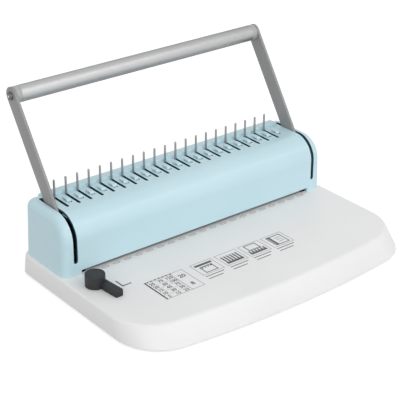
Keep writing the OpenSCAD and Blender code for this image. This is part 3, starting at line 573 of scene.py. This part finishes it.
foot = add_disc("foot", (0, 0, 0), foot_r, base_low.z)
pick("FACE", lambda at, way: way.z > along)
bpy.ops.mesh.inset(thickness=foot_r - foot_stem_r, depth=0)
extrude((0, 0, foot_stem_h))
pick("FACE", lambda at, way: way.z < -along)
bpy.ops.mesh.inset(thickness=foot_r - foot_stem_r, depth=0)
bpy.ops.mesh.inset(thickness=foot_hollow, depth=-foot_hollow)
pick("EDGE", lambda at, way: at.z < near and at.xy.length > foot_r - rim_band)
soften(foot_edge, segments=4)
feet = copies(foot, on_both_sides(foot_places), "rubber_feet_moulded")
paint(feet, moulded_plastic("black_rubber", dark=(0.016, 0.016, 0.017), light=(0.026, 0.026, 0.027),
                            gloss=0.72, grain=1500))
finish_piece(feet, "base", "rubber_feet")


def bare_steel(name, dark, light, gloss, lay, relief=0.15):
    """Bare, plated or blackened steel: fine scratches along its lay and uneven gloss."""
    material, nodes, links, shader, place = new_material(name)
    stretch = nodes.new("ShaderNodeMapping")
    stretch.inputs["Scale"].default_value = lay
    links.new(place, stretch.inputs["Vector"])
    scratches = add_noise(nodes, links, stretch.outputs["Vector"], scale=120, detail=4, roughness=0.65)
    links.new(blend_colours(nodes, links, scratches, dark, light), shader.inputs["Base Color"])
    links.new(span(nodes, links, scratches, gloss - 0.07, gloss + 0.09), shader.inputs["Roughness"])
    add_bump(nodes, links, shader, scratches, strength=relief, depth=0.02 * mm)
    shader.inputs["Metallic"].default_value = 1.0
    return material


screw_zinc = bare_steel("screw_zinc", dark=(0.42, 0.42, 0.43), light=(0.55, 0.55, 0.56),
                        gloss=0.36, lay=(6, 6, 6))
head_under = base_low.z - cover_head_h
cover_screw = add_disc("cover_screw", (0, 0, head_under), cover_head_r, cover_head_h, sides=32)
pick("FACE", lambda at, way: way.z > along)
bpy.ops.mesh.inset(thickness=cover_head_r - cover_shank_r, depth=0)
extrude((0, 0, cover_shank_len))
pick("EDGE", lambda at, way: at.z < head_under + near)
soften(cover_head_round, segments=5)
paint(cover_screw, screw_zinc)
for half_x, half_y in ((cross_half, cross_wing), (cross_wing, cross_half)):
    cross = add_block("cross", (-half_x, -half_y, head_under - mm),
                      (half_x, half_y, head_under + cross_depth))
    combine(cover_screw, cross, "DIFFERENCE")
cover_screw_set = copies(cover_screw, on_both_sides(cover_screw_places), "cover_screw_set")
finish_piece(cover_screw_set, "base", "cover_screws")

# Chip tray: a narrow drawer under the die for the punched chips, pulled out of the right side.
# It is moulded in the base's white plastic, open on top, with a face plate and a finger lip.
tray_wall = 1.5 * mm
tray_wall_h = 10.3 * mm
tray_face_t = 3 * mm
tray_lip = Vector((1.6 * mm, 4 * mm, 2 * mm))
tray_edge = 0.4 * mm
tray_top = tray_low.z + tray_wall_h
tray_face = tray_high.x - tray_lip.x
plate_back = tray_face - tray_face_t

tray = add_block("chip_tray_moulding", tray_low, (plate_back + tray_wall, tray_high.y, tray_top))
pick("FACE", lambda at, way: way.z > along)
bpy.ops.mesh.inset(thickness=tray_wall, depth=0)
extrude((0, 0, tray_wall - tray_wall_h))
pick("EDGE", lambda at, way: at.z > tray_top - near)
soften(tray_edge, segments=2)
tray_plate = add_block("tray_plate", (plate_back, tray_low.y, tray_low.z),
                       (tray_face, tray_high.y, tray_high.z))
pick("EDGE", lambda at, way: at.x > tray_face - near)
soften(2 * tray_edge, segments=4)
combine(tray, tray_plate, "UNION")
tray_grip = add_block("tray_grip", (tray_face - mm, tray_low.y + tray_lip.y, tray_low.z),
                      (tray_high.x, tray_high.y - tray_lip.y, tray_low.z + tray_lip.z))
pick("EDGE", lambda at, way: at.x > tray_high.x - near)
soften(tray_edge, segments=3)
combine(tray, tray_grip, "UNION")
paint(tray, moulded_plastic("tray_moulding", dark=(0.78, 0.78, 0.78), light=(0.83, 0.83, 0.828),
                            gloss=0.46, grain=600))
finish_piece(tray, "tray", "chip_tray")

# Die set: a ground die plate, a guide for the punches and two spacers that leave the throat open.
# Hardened tool steel, the die coated white like the platform round it, clamped to the base by
# screws at both ends, with a strip as paper stop.
ground_steel = bare_steel("ground_steel", dark=(0.15, 0.152, 0.158), light=(0.22, 0.222, 0.228),
                          gloss=0.38, lay=(1, 14, 14))
black_oxide = bare_steel("black_oxide", dark=(0.012, 0.013, 0.017), light=(0.022, 0.023, 0.028),
                         gloss=0.50, lay=(4, 4, 4))
dress(satin_paint("die_coat", dark=(0.70, 0.70, 0.70), light=(0.76, 0.76, 0.758), gloss=0.42, metal=0.0),
      "die_plate")
dress(ground_steel, "punch_guide")
dress(black_oxide, "throat_spacers", "die_screws")
dress(screw_zinc, "paper_stop")

# Side frames: two steel plates that stand on the base and carry the shaft in nylon bushes.
# Blackened sheet, screwed down, with pins that stop the handle's swing.
dress(black_oxide, "side_frame_left", "side_frame_right", "frame_screws")
dress(moulded_plastic("natural_nylon", dark=(0.52, 0.50, 0.42), light=(0.58, 0.56, 0.48),
                      gloss=0.50, grain=1800), "shaft_bushes")
turned_steel = bare_steel("turned_steel", dark=(0.30, 0.30, 0.31), light=(0.40, 0.40, 0.41),
                          gloss=0.32, lay=(16, 2, 2))
dress(turned_steel, "stop_pins")

# Main shaft: a turned bar across the machine, with pinions for the press and cranks for the combs.
# Steel; roll pins hold the wheels, washers and screws hold the two arms on its ends.
dress(turned_steel, "main_shaft", "crank_pins", "roll_pins", "shaft_washers", "shaft_screws")
dress(ground_steel, "punch_pinions", "comb_cranks")

# Press: a stiff bar that the racks pull down, with one punch for each ring hung in it.
# Ground tool steel; a rod through the punches' notches keeps them in the bar.
dress(ground_steel, "press_bar", "press_racks", "punches", "retainer_rod")
dress(black_oxide, "rack_screws")

# Comb carriage: a plate that slides under the housing's top and carries the pins forward.
# Blackened sheet, with two yokes for the crank pins screwed under it.
dress(black_oxide, "comb_carriage", "carriage_yokes", "yoke_screws")

# Comb pins: a row of round-tipped steel pins, headed under the sliding carriage plate.
# Drawn wire, nickel plated; they carry the comb's rings forward.
pin_r = 1.2 * mm
pin_tip_round = 1.08 * mm
pin_head_t = 1 * mm
pin_head_reach = 1 * mm
pin_x = -pattern_half - pitch / 2
pin_head_top = pins_low.z + pin_head_t


def in_row(piece):
    """Repeats a piece along the row, once for each ring."""
    modify(piece, "ARRAY", count=ring_count, use_relative_offset=False, use_constant_offset=True,
           constant_offset_displace=(pitch, 0, 0))


pins = add_disc("comb_pin_row", (pin_x, pin_y, pins_low.z), pin_r, pins_high.z - pins_low.z, sides=20)
pick("EDGE", lambda at, way: abs(way.z) < square and at.z > pins_high.z - near)
soften(pin_tip_round, segments=5)
bpy.ops.mesh.select_all(action="SELECT")
bpy.ops.mesh.bisect(plane_co=(0, 0, pin_head_top), plane_no=up)
pick("FACE", lambda at, way: abs(way.z) < square and at.z < pin_head_top)
bpy.ops.mesh.extrude_region_shrink_fatten(TRANSFORM_OT_shrink_fatten={"value": pin_head_reach})
recalculate()
in_row(pins)
paint(pins, bare_steel("pin_nickel", dark=(0.30, 0.30, 0.31), light=(0.40, 0.40, 0.41),
                       gloss=0.42, lay=(8, 8, 1)))
finish_piece(pins, "comb", "comb_pins")

# Hook strip: a steel strip under the housing's top, folded up into one hook for each ring and
# screwed to the side frames. The hooks come up through windows and reach back towards the pins;
# they are sprayed like the housing.
rail_low, rail_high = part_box("hook_rail")
strip_t = 1.5 * mm
strip_edge = 0.25 * mm
strip_depth = 8.5 * mm
hook_width = 5 * mm
hook_bend = 1.6 * mm
hook_corner = 1.2 * mm
hook_ahead = 17 * mm
sharp_above = math.radians(50)
strip_back = rail_low.y + strip_depth
strip_mid = rail_low.z + strip_t / 2
hook_front = pin_y - hook_ahead
hook_stem = hook_front + strip_t / 2
hook_tip = rail_high.y
hook_top = rail_high.z - strip_t / 2

hooks = add_point("hooks", (-pattern_half - hook_width / 2, strip_back - mm, strip_mid))
extrude((0, hook_stem - strip_back + mm, 0))
extrude((0, 0, hook_top - strip_mid))
extrude((0, hook_tip - hook_stem, 0))
pick("VERT", lambda at, way: abs(at.y - hook_stem) < near)
bpy.ops.mesh.bevel(offset=hook_bend, segments=5, affect="VERTICES")
bpy.ops.mesh.select_all(action="SELECT")
extrude((hook_width, 0, 0))
recalculate()
modify(hooks, "SOLIDIFY", thickness=strip_t, offset=0, use_even_offset=True)
bpy.ops.object.mode_set(mode="EDIT")
pick("EDGE", lambda at, way: abs(way.z) > along and at.y > hook_tip - near)
soften(hook_corner, segments=4)
modify(hooks, "BEVEL", width=strip_edge, segments=2, limit_method="ANGLE", angle_limit=sharp_above)
in_row(hooks)
strip = add_block("strip", rail_low, (rail_high.x, strip_back, rail_low.z + strip_t))
bpy.ops.mesh.select_all(action="SELECT")
soften(strip_edge, segments=2)
strip = join([strip, hooks], "hook_strip")
blue_dark = (0.52, 0.715, 0.78)
blue_light = (0.56, 0.75, 0.815)
paint(strip, satin_paint("hook_paint", blue_dark, blue_light, gloss=0.40, metal=0.0))
finish_piece(strip, "base", "hook_rail")
dress(black_oxide, "rail_screws")

# Upper housing: the pale blue cover over the punch and the comb drive, one hollow moulding that
# is screwed up from below through the base. Its top rolls over into the front and steps up to a
# low rail; slots for pins, hooks and arms go through its skin, and a throat runs along its foot.
housing_low, housing_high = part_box("upper_housing")
housing_wall = 2.5 * mm
housing_draft = 2.5 * mm
housing_nose = 26 * mm
housing_edge = 9 * mm
top_half = housing_high.x - housing_draft

housing = add_block("upper_housing_moulding", housing_low, housing_high)
pick("VERT", lambda at, way: at.z > housing_high.z - near)
bpy.ops.transform.resize(value=(top_half / housing_high.x, 1, 1), center_override=(0, 0, housing_high.z))
pick("EDGE", lambda at, way: at.z > housing_high.z - near and at.y < housing_low.y + near)
soften(housing_nose, segments=28)
pick("EDGE", lambda at, way: at.z > housing_high.z - near and at.y > housing_high.y - near)
soften(housing_edge, segments=12)
pick("EDGE", lambda at, way: abs(at.x) > top_half - mm and at.z > housing_low.z + near)
soften(housing_edge, segments=12)
pick("FACE", lambda at, way: at.z < housing_low.z + near)
bpy.ops.mesh.delete(type="FACE")
modify(housing, "SOLIDIFY", thickness=housing_wall, offset=-1, use_even_offset=True)
level_rim(housing, housing_low.z)
paint(housing, moulded_plastic("pale_blue_moulding", blue_dark, blue_light, gloss=0.31, grain=2600))

through = 5 * mm
# Painted shade: the walls of the pin slots, hook windows and arm slots are painted dark navy and teal
# where the plastic is the housing's pale blue.
painted_slot_shade = moulded_plastic("painted_slot_shade", dark=(0.010, 0.055, 0.078), light=(0.018, 0.075, 0.105),
                             gloss=0.65, grain=2600)
painted_arm_slot_shade = moulded_plastic("painted_arm_slot_shade", dark=(0.022, 0.105, 0.145), light=(0.032, 0.13, 0.175),
                                 gloss=0.65, grain=2600)


def cut_slot(piece, cutter, shade):
    """Cuts a slot through a moulding and paints its walls dark, as painted shade."""
    paint(cutter, shade)
    combine(piece, cutter, "DIFFERENCE")


pin_slot_half = 1.6 * mm
pin_slot_front = pin_y - 26.1 * mm
pin_slot_back = pin_y + 1.9 * mm
pin_slots = add_block("pin_slots", (pin_x - pin_slot_half, pin_slot_front, housing_high.z - through),
                      (pin_x + pin_slot_half, pin_slot_back, housing_high.z + through))
pick("EDGE", lambda at, way: abs(way.z) > along)
soften(pin_slot_half - near, segments=6)
recalculate()
in_row(pin_slots)
cut_slot(housing, pin_slots, painted_slot_shade)

window_half = 2.7 * mm
window_corner = 0.6 * mm
window_ahead = 2 * mm
window_behind = 0.2 * mm
window_front = hook_front - window_ahead
window_back = hook_front + strip_t + window_behind
window_x = -pattern_half
hook_windows = add_block("hook_windows", (window_x - window_half, window_front, housing_high.z - through),
                         (window_x + window_half, window_back, housing_high.z + through))
pick("EDGE", lambda at, way: abs(way.z) > along)
soften(window_corner, segments=3)
in_row(hook_windows)
cut_slot(housing, hook_windows, painted_slot_shade)

arm_low, arm_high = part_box("handle_arm_right")
arm_x = (arm_low.x + arm_high.x) / 2
left_slot_half = 2.5 * mm
right_slot_half = 2.0 * mm
arm_slot_back = pin_y + 8 * mm
arm_slot_foot = 36.5 * mm
slot_bend = housing_low.y + housing_nose
# The arm slots' walls get a lighter painted shade than the pin slots.
for side, arm_slot_half in ((-1, left_slot_half), (1, right_slot_half)):
    slot_left = side * arm_x - arm_slot_half
    slot_right = side * arm_x + arm_slot_half
    front_slot = add_block("front_slot", (slot_left, housing_low.y - through, arm_slot_foot),
                           (slot_right, slot_bend, housing_high.z + through))
    pick("EDGE", lambda at, way: abs(way.y) > along and at.z < arm_slot_foot + near)
    soften(arm_slot_half - near, segments=6)
    recalculate()
    cut_slot(housing, front_slot, painted_arm_slot_shade)
    top_slot = add_block("top_slot", (slot_left, slot_bend - through, housing_high.z - housing_edge),
                         (slot_right, arm_slot_back, housing_high.z + through))
    pick("EDGE", lambda at, way: abs(way.z) > along and at.y > arm_slot_back - near)
    soften(arm_slot_half - near, segments=6)
    recalculate()
    cut_slot(housing, top_slot, painted_arm_slot_shade)

throat_h = 4.6 * mm
throat_spare = 2 * mm
throat_depth = housing_wall + throat_spare
throat = add_block("throat", (die_low.x, housing_low.y - through, housing_low.z - through),
                   (die_high.x, housing_low.y + throat_depth, housing_low.z + throat_h))
combine(housing, throat, "DIFFERENCE")

along_x = (1, 0, 0)
rail_slot_gap = 2 * mm
rail_pin_gap = 3 * mm
rail_inset = 0.05 * mm
rail_rise = 3.2 * mm
rail_sink = 1.2 * mm
rail_edge = 0.8 * mm
rail_x = arm_x - left_slot_half - rail_slot_gap
rail_front = pin_y + rail_pin_gap
rail_back = housing_high.y - rail_inset
rail_top = housing_high.z + rail_rise
rail_bend = rail_back - housing_edge
rail = add_point("rear_rail", (-rail_x, rail_front, housing_high.z - rail_sink))
extrude((0, 0, rail_rise + rail_sink))
extrude((0, rail_bend - rail_front, 0))
turn((-rail_x, rail_bend, rail_top - housing_edge), along_x, -math.pi / 2, steps=12)
extrude((0, 0, -rail_rise))
extrude((0, -rail_sink, 0))
turn((-rail_x, rail_bend, housing_high.z - housing_edge), along_x, math.pi / 2, steps=12)
extrude((0, rail_front - rail_bend, 0))
recalculate()
bpy.ops.mesh.edge_face_add()
extrude((2 * rail_x, 0, 0))
recalculate()
pick("EDGE", lambda at, way: at.z > housing_high.z
     and (abs(at.x) > rail_x - near or (at.y < rail_front + near and at.z > rail_top - near)))
soften(rail_edge, segments=4)
combine(housing, rail, "UNION")
finish_piece(housing, "base", "upper_housing")
dress(screw_zinc, "housing_screws")

# Lever arms: two flat steel bars with round ends, one in each slot, keyed on the main shaft.
# They are cut from strip, their edges broken, and sprayed grey.
joint_places = {joint["name"]: joint.get("pos_m") for joint in frame["joints"]}
shaft_at = Vector(joint_places["handle_swing"])
shaft_at.x = 0
tube_low, tube_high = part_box("handle_tube")
tube_at = (tube_low + tube_high) / 2
tube_at.x = 0
arm_half = 9.2 * mm
arm_edge = 0.45 * mm
arm_t = arm_high.x - arm_low.x
arm_along = tube_at - shaft_at
arm_across = Vector((0, arm_along.z, -arm_along.y)).normalized() * arm_half
arm_paint = satin_paint("arm_paint", dark=(0.262, 0.263, 0.265), light=(0.308, 0.309, 0.311),
                        gloss=0.46, metal=0.1)
for side, arm_node in ((-1, "handle_arm_left"), (1, "handle_arm_right")):
    inner = Vector((side * arm_low.x, 0, 0))
    arm = add_point("lever_" + arm_node, shaft_at + inner + arm_across)
    extrude(arm_along)
    turn(tube_at + inner, along_x, math.pi, steps=24)
    extrude(-arm_along)
    turn(shaft_at + inner, along_x, math.pi, steps=24)
    recalculate()
    bpy.ops.mesh.edge_face_add()
    extrude((side * arm_t, 0, 0))
    recalculate()
    pick("EDGE", lambda at, way: abs(way.x) < square)
    soften(arm_edge, segments=3)
    paint(arm, arm_paint)
    finish_piece(arm, "handle", arm_node)

# Handle tube: a round steel tube across the arms, the bar that the hand pulls.
# Drawn tube, brushed along its length and lacquered silver; the plugs in its ends hold it.
tube_r = (tube_high.z - tube_low.z) / 2
tube_wall = 1.5 * mm
tube_edge = 0.4 * mm


def add_rod(name, start, length, radius, sides=48, ends="NGON"):
    """A cylinder along x from a starting place, open for editing."""
    deselect_all()
    middle = Vector(start) + Vector((length / 2, 0, 0))
    bpy.ops.mesh.primitive_cylinder_add(vertices=sides, radius=radius, depth=abs(length), location=middle,
                                        rotation=(0, math.pi / 2, 0), end_fill_type=ends)
    return open_piece(name)


def on_tube(x):
    """A place on the tube's centre line."""
    return tube_at + Vector((x, 0, 0))


tube = add_rod("handle_tube_brushed", on_tube(tube_low.x), tube_high.x - tube_low.x, tube_r,
               sides=64, ends="NOTHING")
modify(tube, "SOLIDIFY", thickness=tube_wall, offset=-1, use_even_offset=True)
bpy.ops.object.mode_set(mode="EDIT")
pick("EDGE", lambda at, way: abs(way.x) < square and (at - tube_at).yz.length > tube_r - rim_band)
soften(tube_edge, segments=3)
tube_silver = bare_steel("tube_silver", dark=(0.45, 0.452, 0.455), light=(0.53, 0.532, 0.535),
                         gloss=0.50, lay=(1, 14, 14), relief=0.04)
rim_tint = (0.15, 0.15, 0.16, 1)
tube_silver.node_tree.nodes["Principled BSDF"].inputs["Specular Tint"].default_value = rim_tint
paint(tube, tube_silver)
finish_piece(tube, "handle", "handle_tube")

# Tube plugs: a plug with a collar in each end of the tube, where the arms are screwed on.
# Moulded in grey plastic; the collar is as wide as the tube and stands against the arm.
spigot_gap = 0.03 * mm
spigot_len = 12 * mm
spigot_r = tube_r - tube_wall - spigot_gap
collar_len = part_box("tube_plugs")[1].x - tube_high.x
collar_edge = 0.5 * mm
collar_spread = (1, tube_r / spigot_r, tube_r / spigot_r)
plugs = []
for side in (-1, 1):
    plug = add_rod("tube_plug", on_tube(side * (tube_high.x - spigot_len)), side * spigot_len, spigot_r)
    pick("FACE", lambda at, way: way.x * side > along)
    extrude((0, 0, 0))
    bpy.ops.transform.resize(value=collar_spread, center_override=on_tube(side * tube_high.x))
    extrude((side * collar_len, 0, 0))
    recalculate()
    pick("EDGE", lambda at, way: abs(way.x) < square and abs(at.x) > tube_high.x - near
         and (at - tube_at).yz.length > tube_r - rim_band)
    soften(collar_edge, segments=3)
    plugs.append(plug)
plug_pair = join(plugs, "tube_plugs_collared")
paint(plug_pair, moulded_plastic("plug_moulding", dark=(0.40, 0.401, 0.404), light=(0.46, 0.461, 0.464),
                                 gloss=0.42, grain=2200))
finish_piece(plug_pair, "handle", "tube_plugs")

# Handle screws: one button-head screw through each arm into its plug.
# Grey plated steel with a hexagon socket whose bottom is painted bright as a painted highlight.
button_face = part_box("handle_screws")[1].x
button_r = 4.5 * mm
button_h = button_face - arm_high.x
button_round = 0.75 * button_h
button_shank_r = 2.5 * mm
button_shank_len = 15 * mm
socket_r = 1.7 * mm
socket_depth = 1.0 * mm
screw_grey = bare_steel("screw_grey", dark=(0.13, 0.13, 0.132), light=(0.17, 0.17, 0.172),
                        gloss=0.42, lay=(6, 6, 6))
# Painted highlight: the socket's bottom gets a bright steel colour to stand for a glint.
socket_painted_highlight = bare_steel("socket_painted_highlight", dark=(0.70, 0.70, 0.70), light=(0.80, 0.80, 0.80),
                           gloss=0.40, lay=(6, 6, 6))
arm_screws = []
for side in (-1, 1):
    screw = add_rod("handle_screw", on_tube(side * arm_high.x), side * button_h, button_r, sides=32)
    pick("FACE", lambda at, way: way.x * side < -along)
    bpy.ops.mesh.inset(thickness=button_r - button_shank_r, depth=0)
    extrude((-side * button_shank_len, 0, 0))
    pick("EDGE", lambda at, way: abs(way.x) < square and abs(at.x) > button_face - near)
    soften(button_round, segments=6)
    paint(screw, screw_grey)
    socket = add_rod("socket", on_tube(side * (button_face - socket_depth)), side * (socket_depth + mm),
                     socket_r, sides=6)
    paint(socket, socket_painted_highlight)
    combine(screw, socket, "DIFFERENCE")
    arm_screws.append(screw)
handle_screws = join(arm_screws, "handle_screw_pair")
finish_piece(handle_screws, "handle", "handle_screws")

# Paper guide: a round knob with a blunt lever that squares up the sheets' left edge.
# Moulded in black matte plastic and pressed on a steel spindle, held under the platform by a clip.
knob_low, knob_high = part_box("paper_guide_knob")
knob_at = Vector(joint_places["guide_turn"])
knob_at.z = knob_low.z
knob_r = 10.5 * mm
knob_h = knob_high.z - knob_low.z
knob_rim = 1.6 * mm
knob_dish = 0.4 * mm
knob_edge = 0.7 * mm
lever_half = 4.75 * mm
lever_shift = 4 * mm
lever_len = 34 * mm
lever_h = 6.8 * mm
lever_turn = math.radians(5)
lever_corner = 2 * mm
lever_edge = 0.8 * mm
lever_top = knob_at.z + lever_h

knob = add_disc("paper_guide_moulding", knob_at, knob_r, knob_h, sides=64)
pick("FACE", lambda at, way: way.z > along)
bpy.ops.mesh.inset(thickness=knob_rim, depth=0)
bpy.ops.mesh.inset(thickness=knob_dish, depth=-knob_dish)
pick("EDGE", lambda at, way: abs(way.z) < square and (at - knob_at).xy.length > knob_r - rim_band)
soften(knob_edge, segments=4)
lever = add_block("lever", knob_at + Vector((lever_shift - lever_half, -lever_len, 0)),
                  knob_at + Vector((lever_shift + lever_half, 0, lever_h)))
pick("EDGE", lambda at, way: abs(way.z) > along)
soften(lever_corner, segments=6)
pick("EDGE", lambda at, way: abs(way.z) < square and at.z > lever_top - near)
soften(lever_edge, segments=4)
bpy.ops.mesh.select_all(action="SELECT")
bpy.ops.transform.rotate(value=-lever_turn, orient_axis="Z", center_override=knob_at)
combine(knob, lever, "UNION")
black_moulding = moulded_plastic("black_moulding", dark=(0.018, 0.020, 0.021), light=(0.026, 0.028, 0.029),
                                 gloss=0.54, grain=2200)
black_moulding.node_tree.nodes["Principled BSDF"].inputs["Specular IOR Level"].default_value = 0.4
paint(knob, black_moulding)
finish_piece(knob, "guide", "paper_guide_knob")
dress(turned_steel, "knob_spindle")
dress(black_oxide, "knob_clip")

# Floor, soft studio light and the camera, which stands where the photographer stood.
# The floor and the room are white to the camera, and the floor keeps the machine's shadow.
floor_size = 40
floor_grey = (0.5, 0.5, 0.5, 1)
floor_glow_strength = 0.68
white = (1, 1, 1, 1)
room_light_strength = 0.65
room_white_strength = 1.0

deselect_all()
bpy.ops.mesh.primitive_plane_add(size=floor_size, location=(0, 0, 0))
floor = bpy.context.object
floor.name = "studio_floor"


def add_seen(nodes, links):
    """One where a camera, mirror or glass ray looks, and nought for the light on the machine."""
    rays = nodes.new("ShaderNodeLightPath")
    seen = rays.outputs["Is Camera Ray"]
    for other in ("Is Glossy Ray", "Is Transmission Ray"):
        either = nodes.new("ShaderNodeMath")
        either.operation = "MAXIMUM"
        links.new(seen, either.inputs[0])
        links.new(rays.outputs[other], either.inputs[1])
        seen = either.outputs["Value"]
    return seen


floor_paper, nodes, links, floor_shade, _ = new_material("floor_paper")
floor_shade.inputs["Base Color"].default_value = floor_grey
floor_shade.inputs["Roughness"].default_value = 0.9
floor_shade.inputs["Specular IOR Level"].default_value = 0.0
floor_glow = nodes.new("ShaderNodeEmission")
floor_glow.inputs["Strength"].default_value = floor_glow_strength
lit_floor = nodes.new("ShaderNodeAddShader")
links.new(floor_shade.outputs["BSDF"], lit_floor.inputs[0])
links.new(floor_glow.outputs["Emission"], lit_floor.inputs[1])
floor_mix = nodes.new("ShaderNodeMixShader")
links.new(add_seen(nodes, links), floor_mix.inputs["Fac"])
links.new(floor_shade.outputs["BSDF"], floor_mix.inputs[1])
links.new(lit_floor.outputs["Shader"], floor_mix.inputs[2])
links.new(floor_mix.outputs["Shader"], nodes["Material Output"].inputs["Surface"])
floor.data.materials.append(floor_paper)

world = bpy.data.worlds.new("studio")
bpy.context.scene.world = world
world.use_nodes = True
nodes = world.node_tree.nodes
links = world.node_tree.links
room_light = nodes["Background"]
room_light.inputs["Color"].default_value = white
room_light.inputs["Strength"].default_value = room_light_strength
room_white = nodes.new("ShaderNodeBackground")
room_white.inputs["Color"].default_value = white
room_white.inputs["Strength"].default_value = room_white_strength
room_mix = nodes.new("ShaderNodeMixShader")
links.new(add_seen(nodes, links), room_mix.inputs["Fac"])
links.new(room_light.outputs["Background"], room_mix.inputs[1])
links.new(room_white.outputs["Background"], room_mix.inputs[2])
links.new(room_mix.outputs["Shader"], nodes["World Output"].inputs["Surface"])


def add_softbox(name, place, target, width, height, power):
    """An area lamp that faces a target."""
    lamp = bpy.data.lights.new(name, "AREA")
    lamp.shape = "RECTANGLE"
    lamp.size = width
    lamp.size_y = height
    lamp.energy = power
    softbox = bpy.data.objects.new(name, lamp)
    bpy.context.scene.collection.objects.link(softbox)
    softbox.location = place
    softbox.rotation_euler = (Vector(target) - Vector(place)).to_track_quat("-Z", "Y").to_euler()


add_softbox("strip_key", place=(0.3, -1.4, 1.6), target=(0.3, 0, 0.05), width=3.4, height=0.2, power=13.5)
add_softbox("front_fill", place=(0.3, -2.0, 0.6), target=(0.1, 0, 0.05), width=2.4, height=0.8, power=5)
add_softbox("left_fill", place=(-1.6, -1.3, 0.7), target=(0, 0, 0.05), width=1.6, height=0.8, power=8)

camera_place = Vector((-775.90, -944.94, 674.30)) * mm
camera_azimuth = math.radians(-38.739)
camera_elevation = math.radians(26.428)
camera_roll = math.radians(0.401)
camera_data = bpy.data.cameras.new("camera")
camera_data.lens = 115.67
camera_data.sensor_width = 36
camera = bpy.data.objects.new("camera", camera_data)
bpy.context.scene.collection.objects.link(camera)
camera_turn = (Matrix.Rotation(camera_azimuth, 4, "Z")
               @ Matrix.Rotation(math.pi / 2 - camera_elevation, 4, "X")
               @ Matrix.Rotation(camera_roll, 4, "Z"))
camera.matrix_world = Matrix.Translation(camera_place) @ camera_turn
bpy.context.scene.camera = camera
bpy.context.scene.view_settings.view_transform = "Standard"
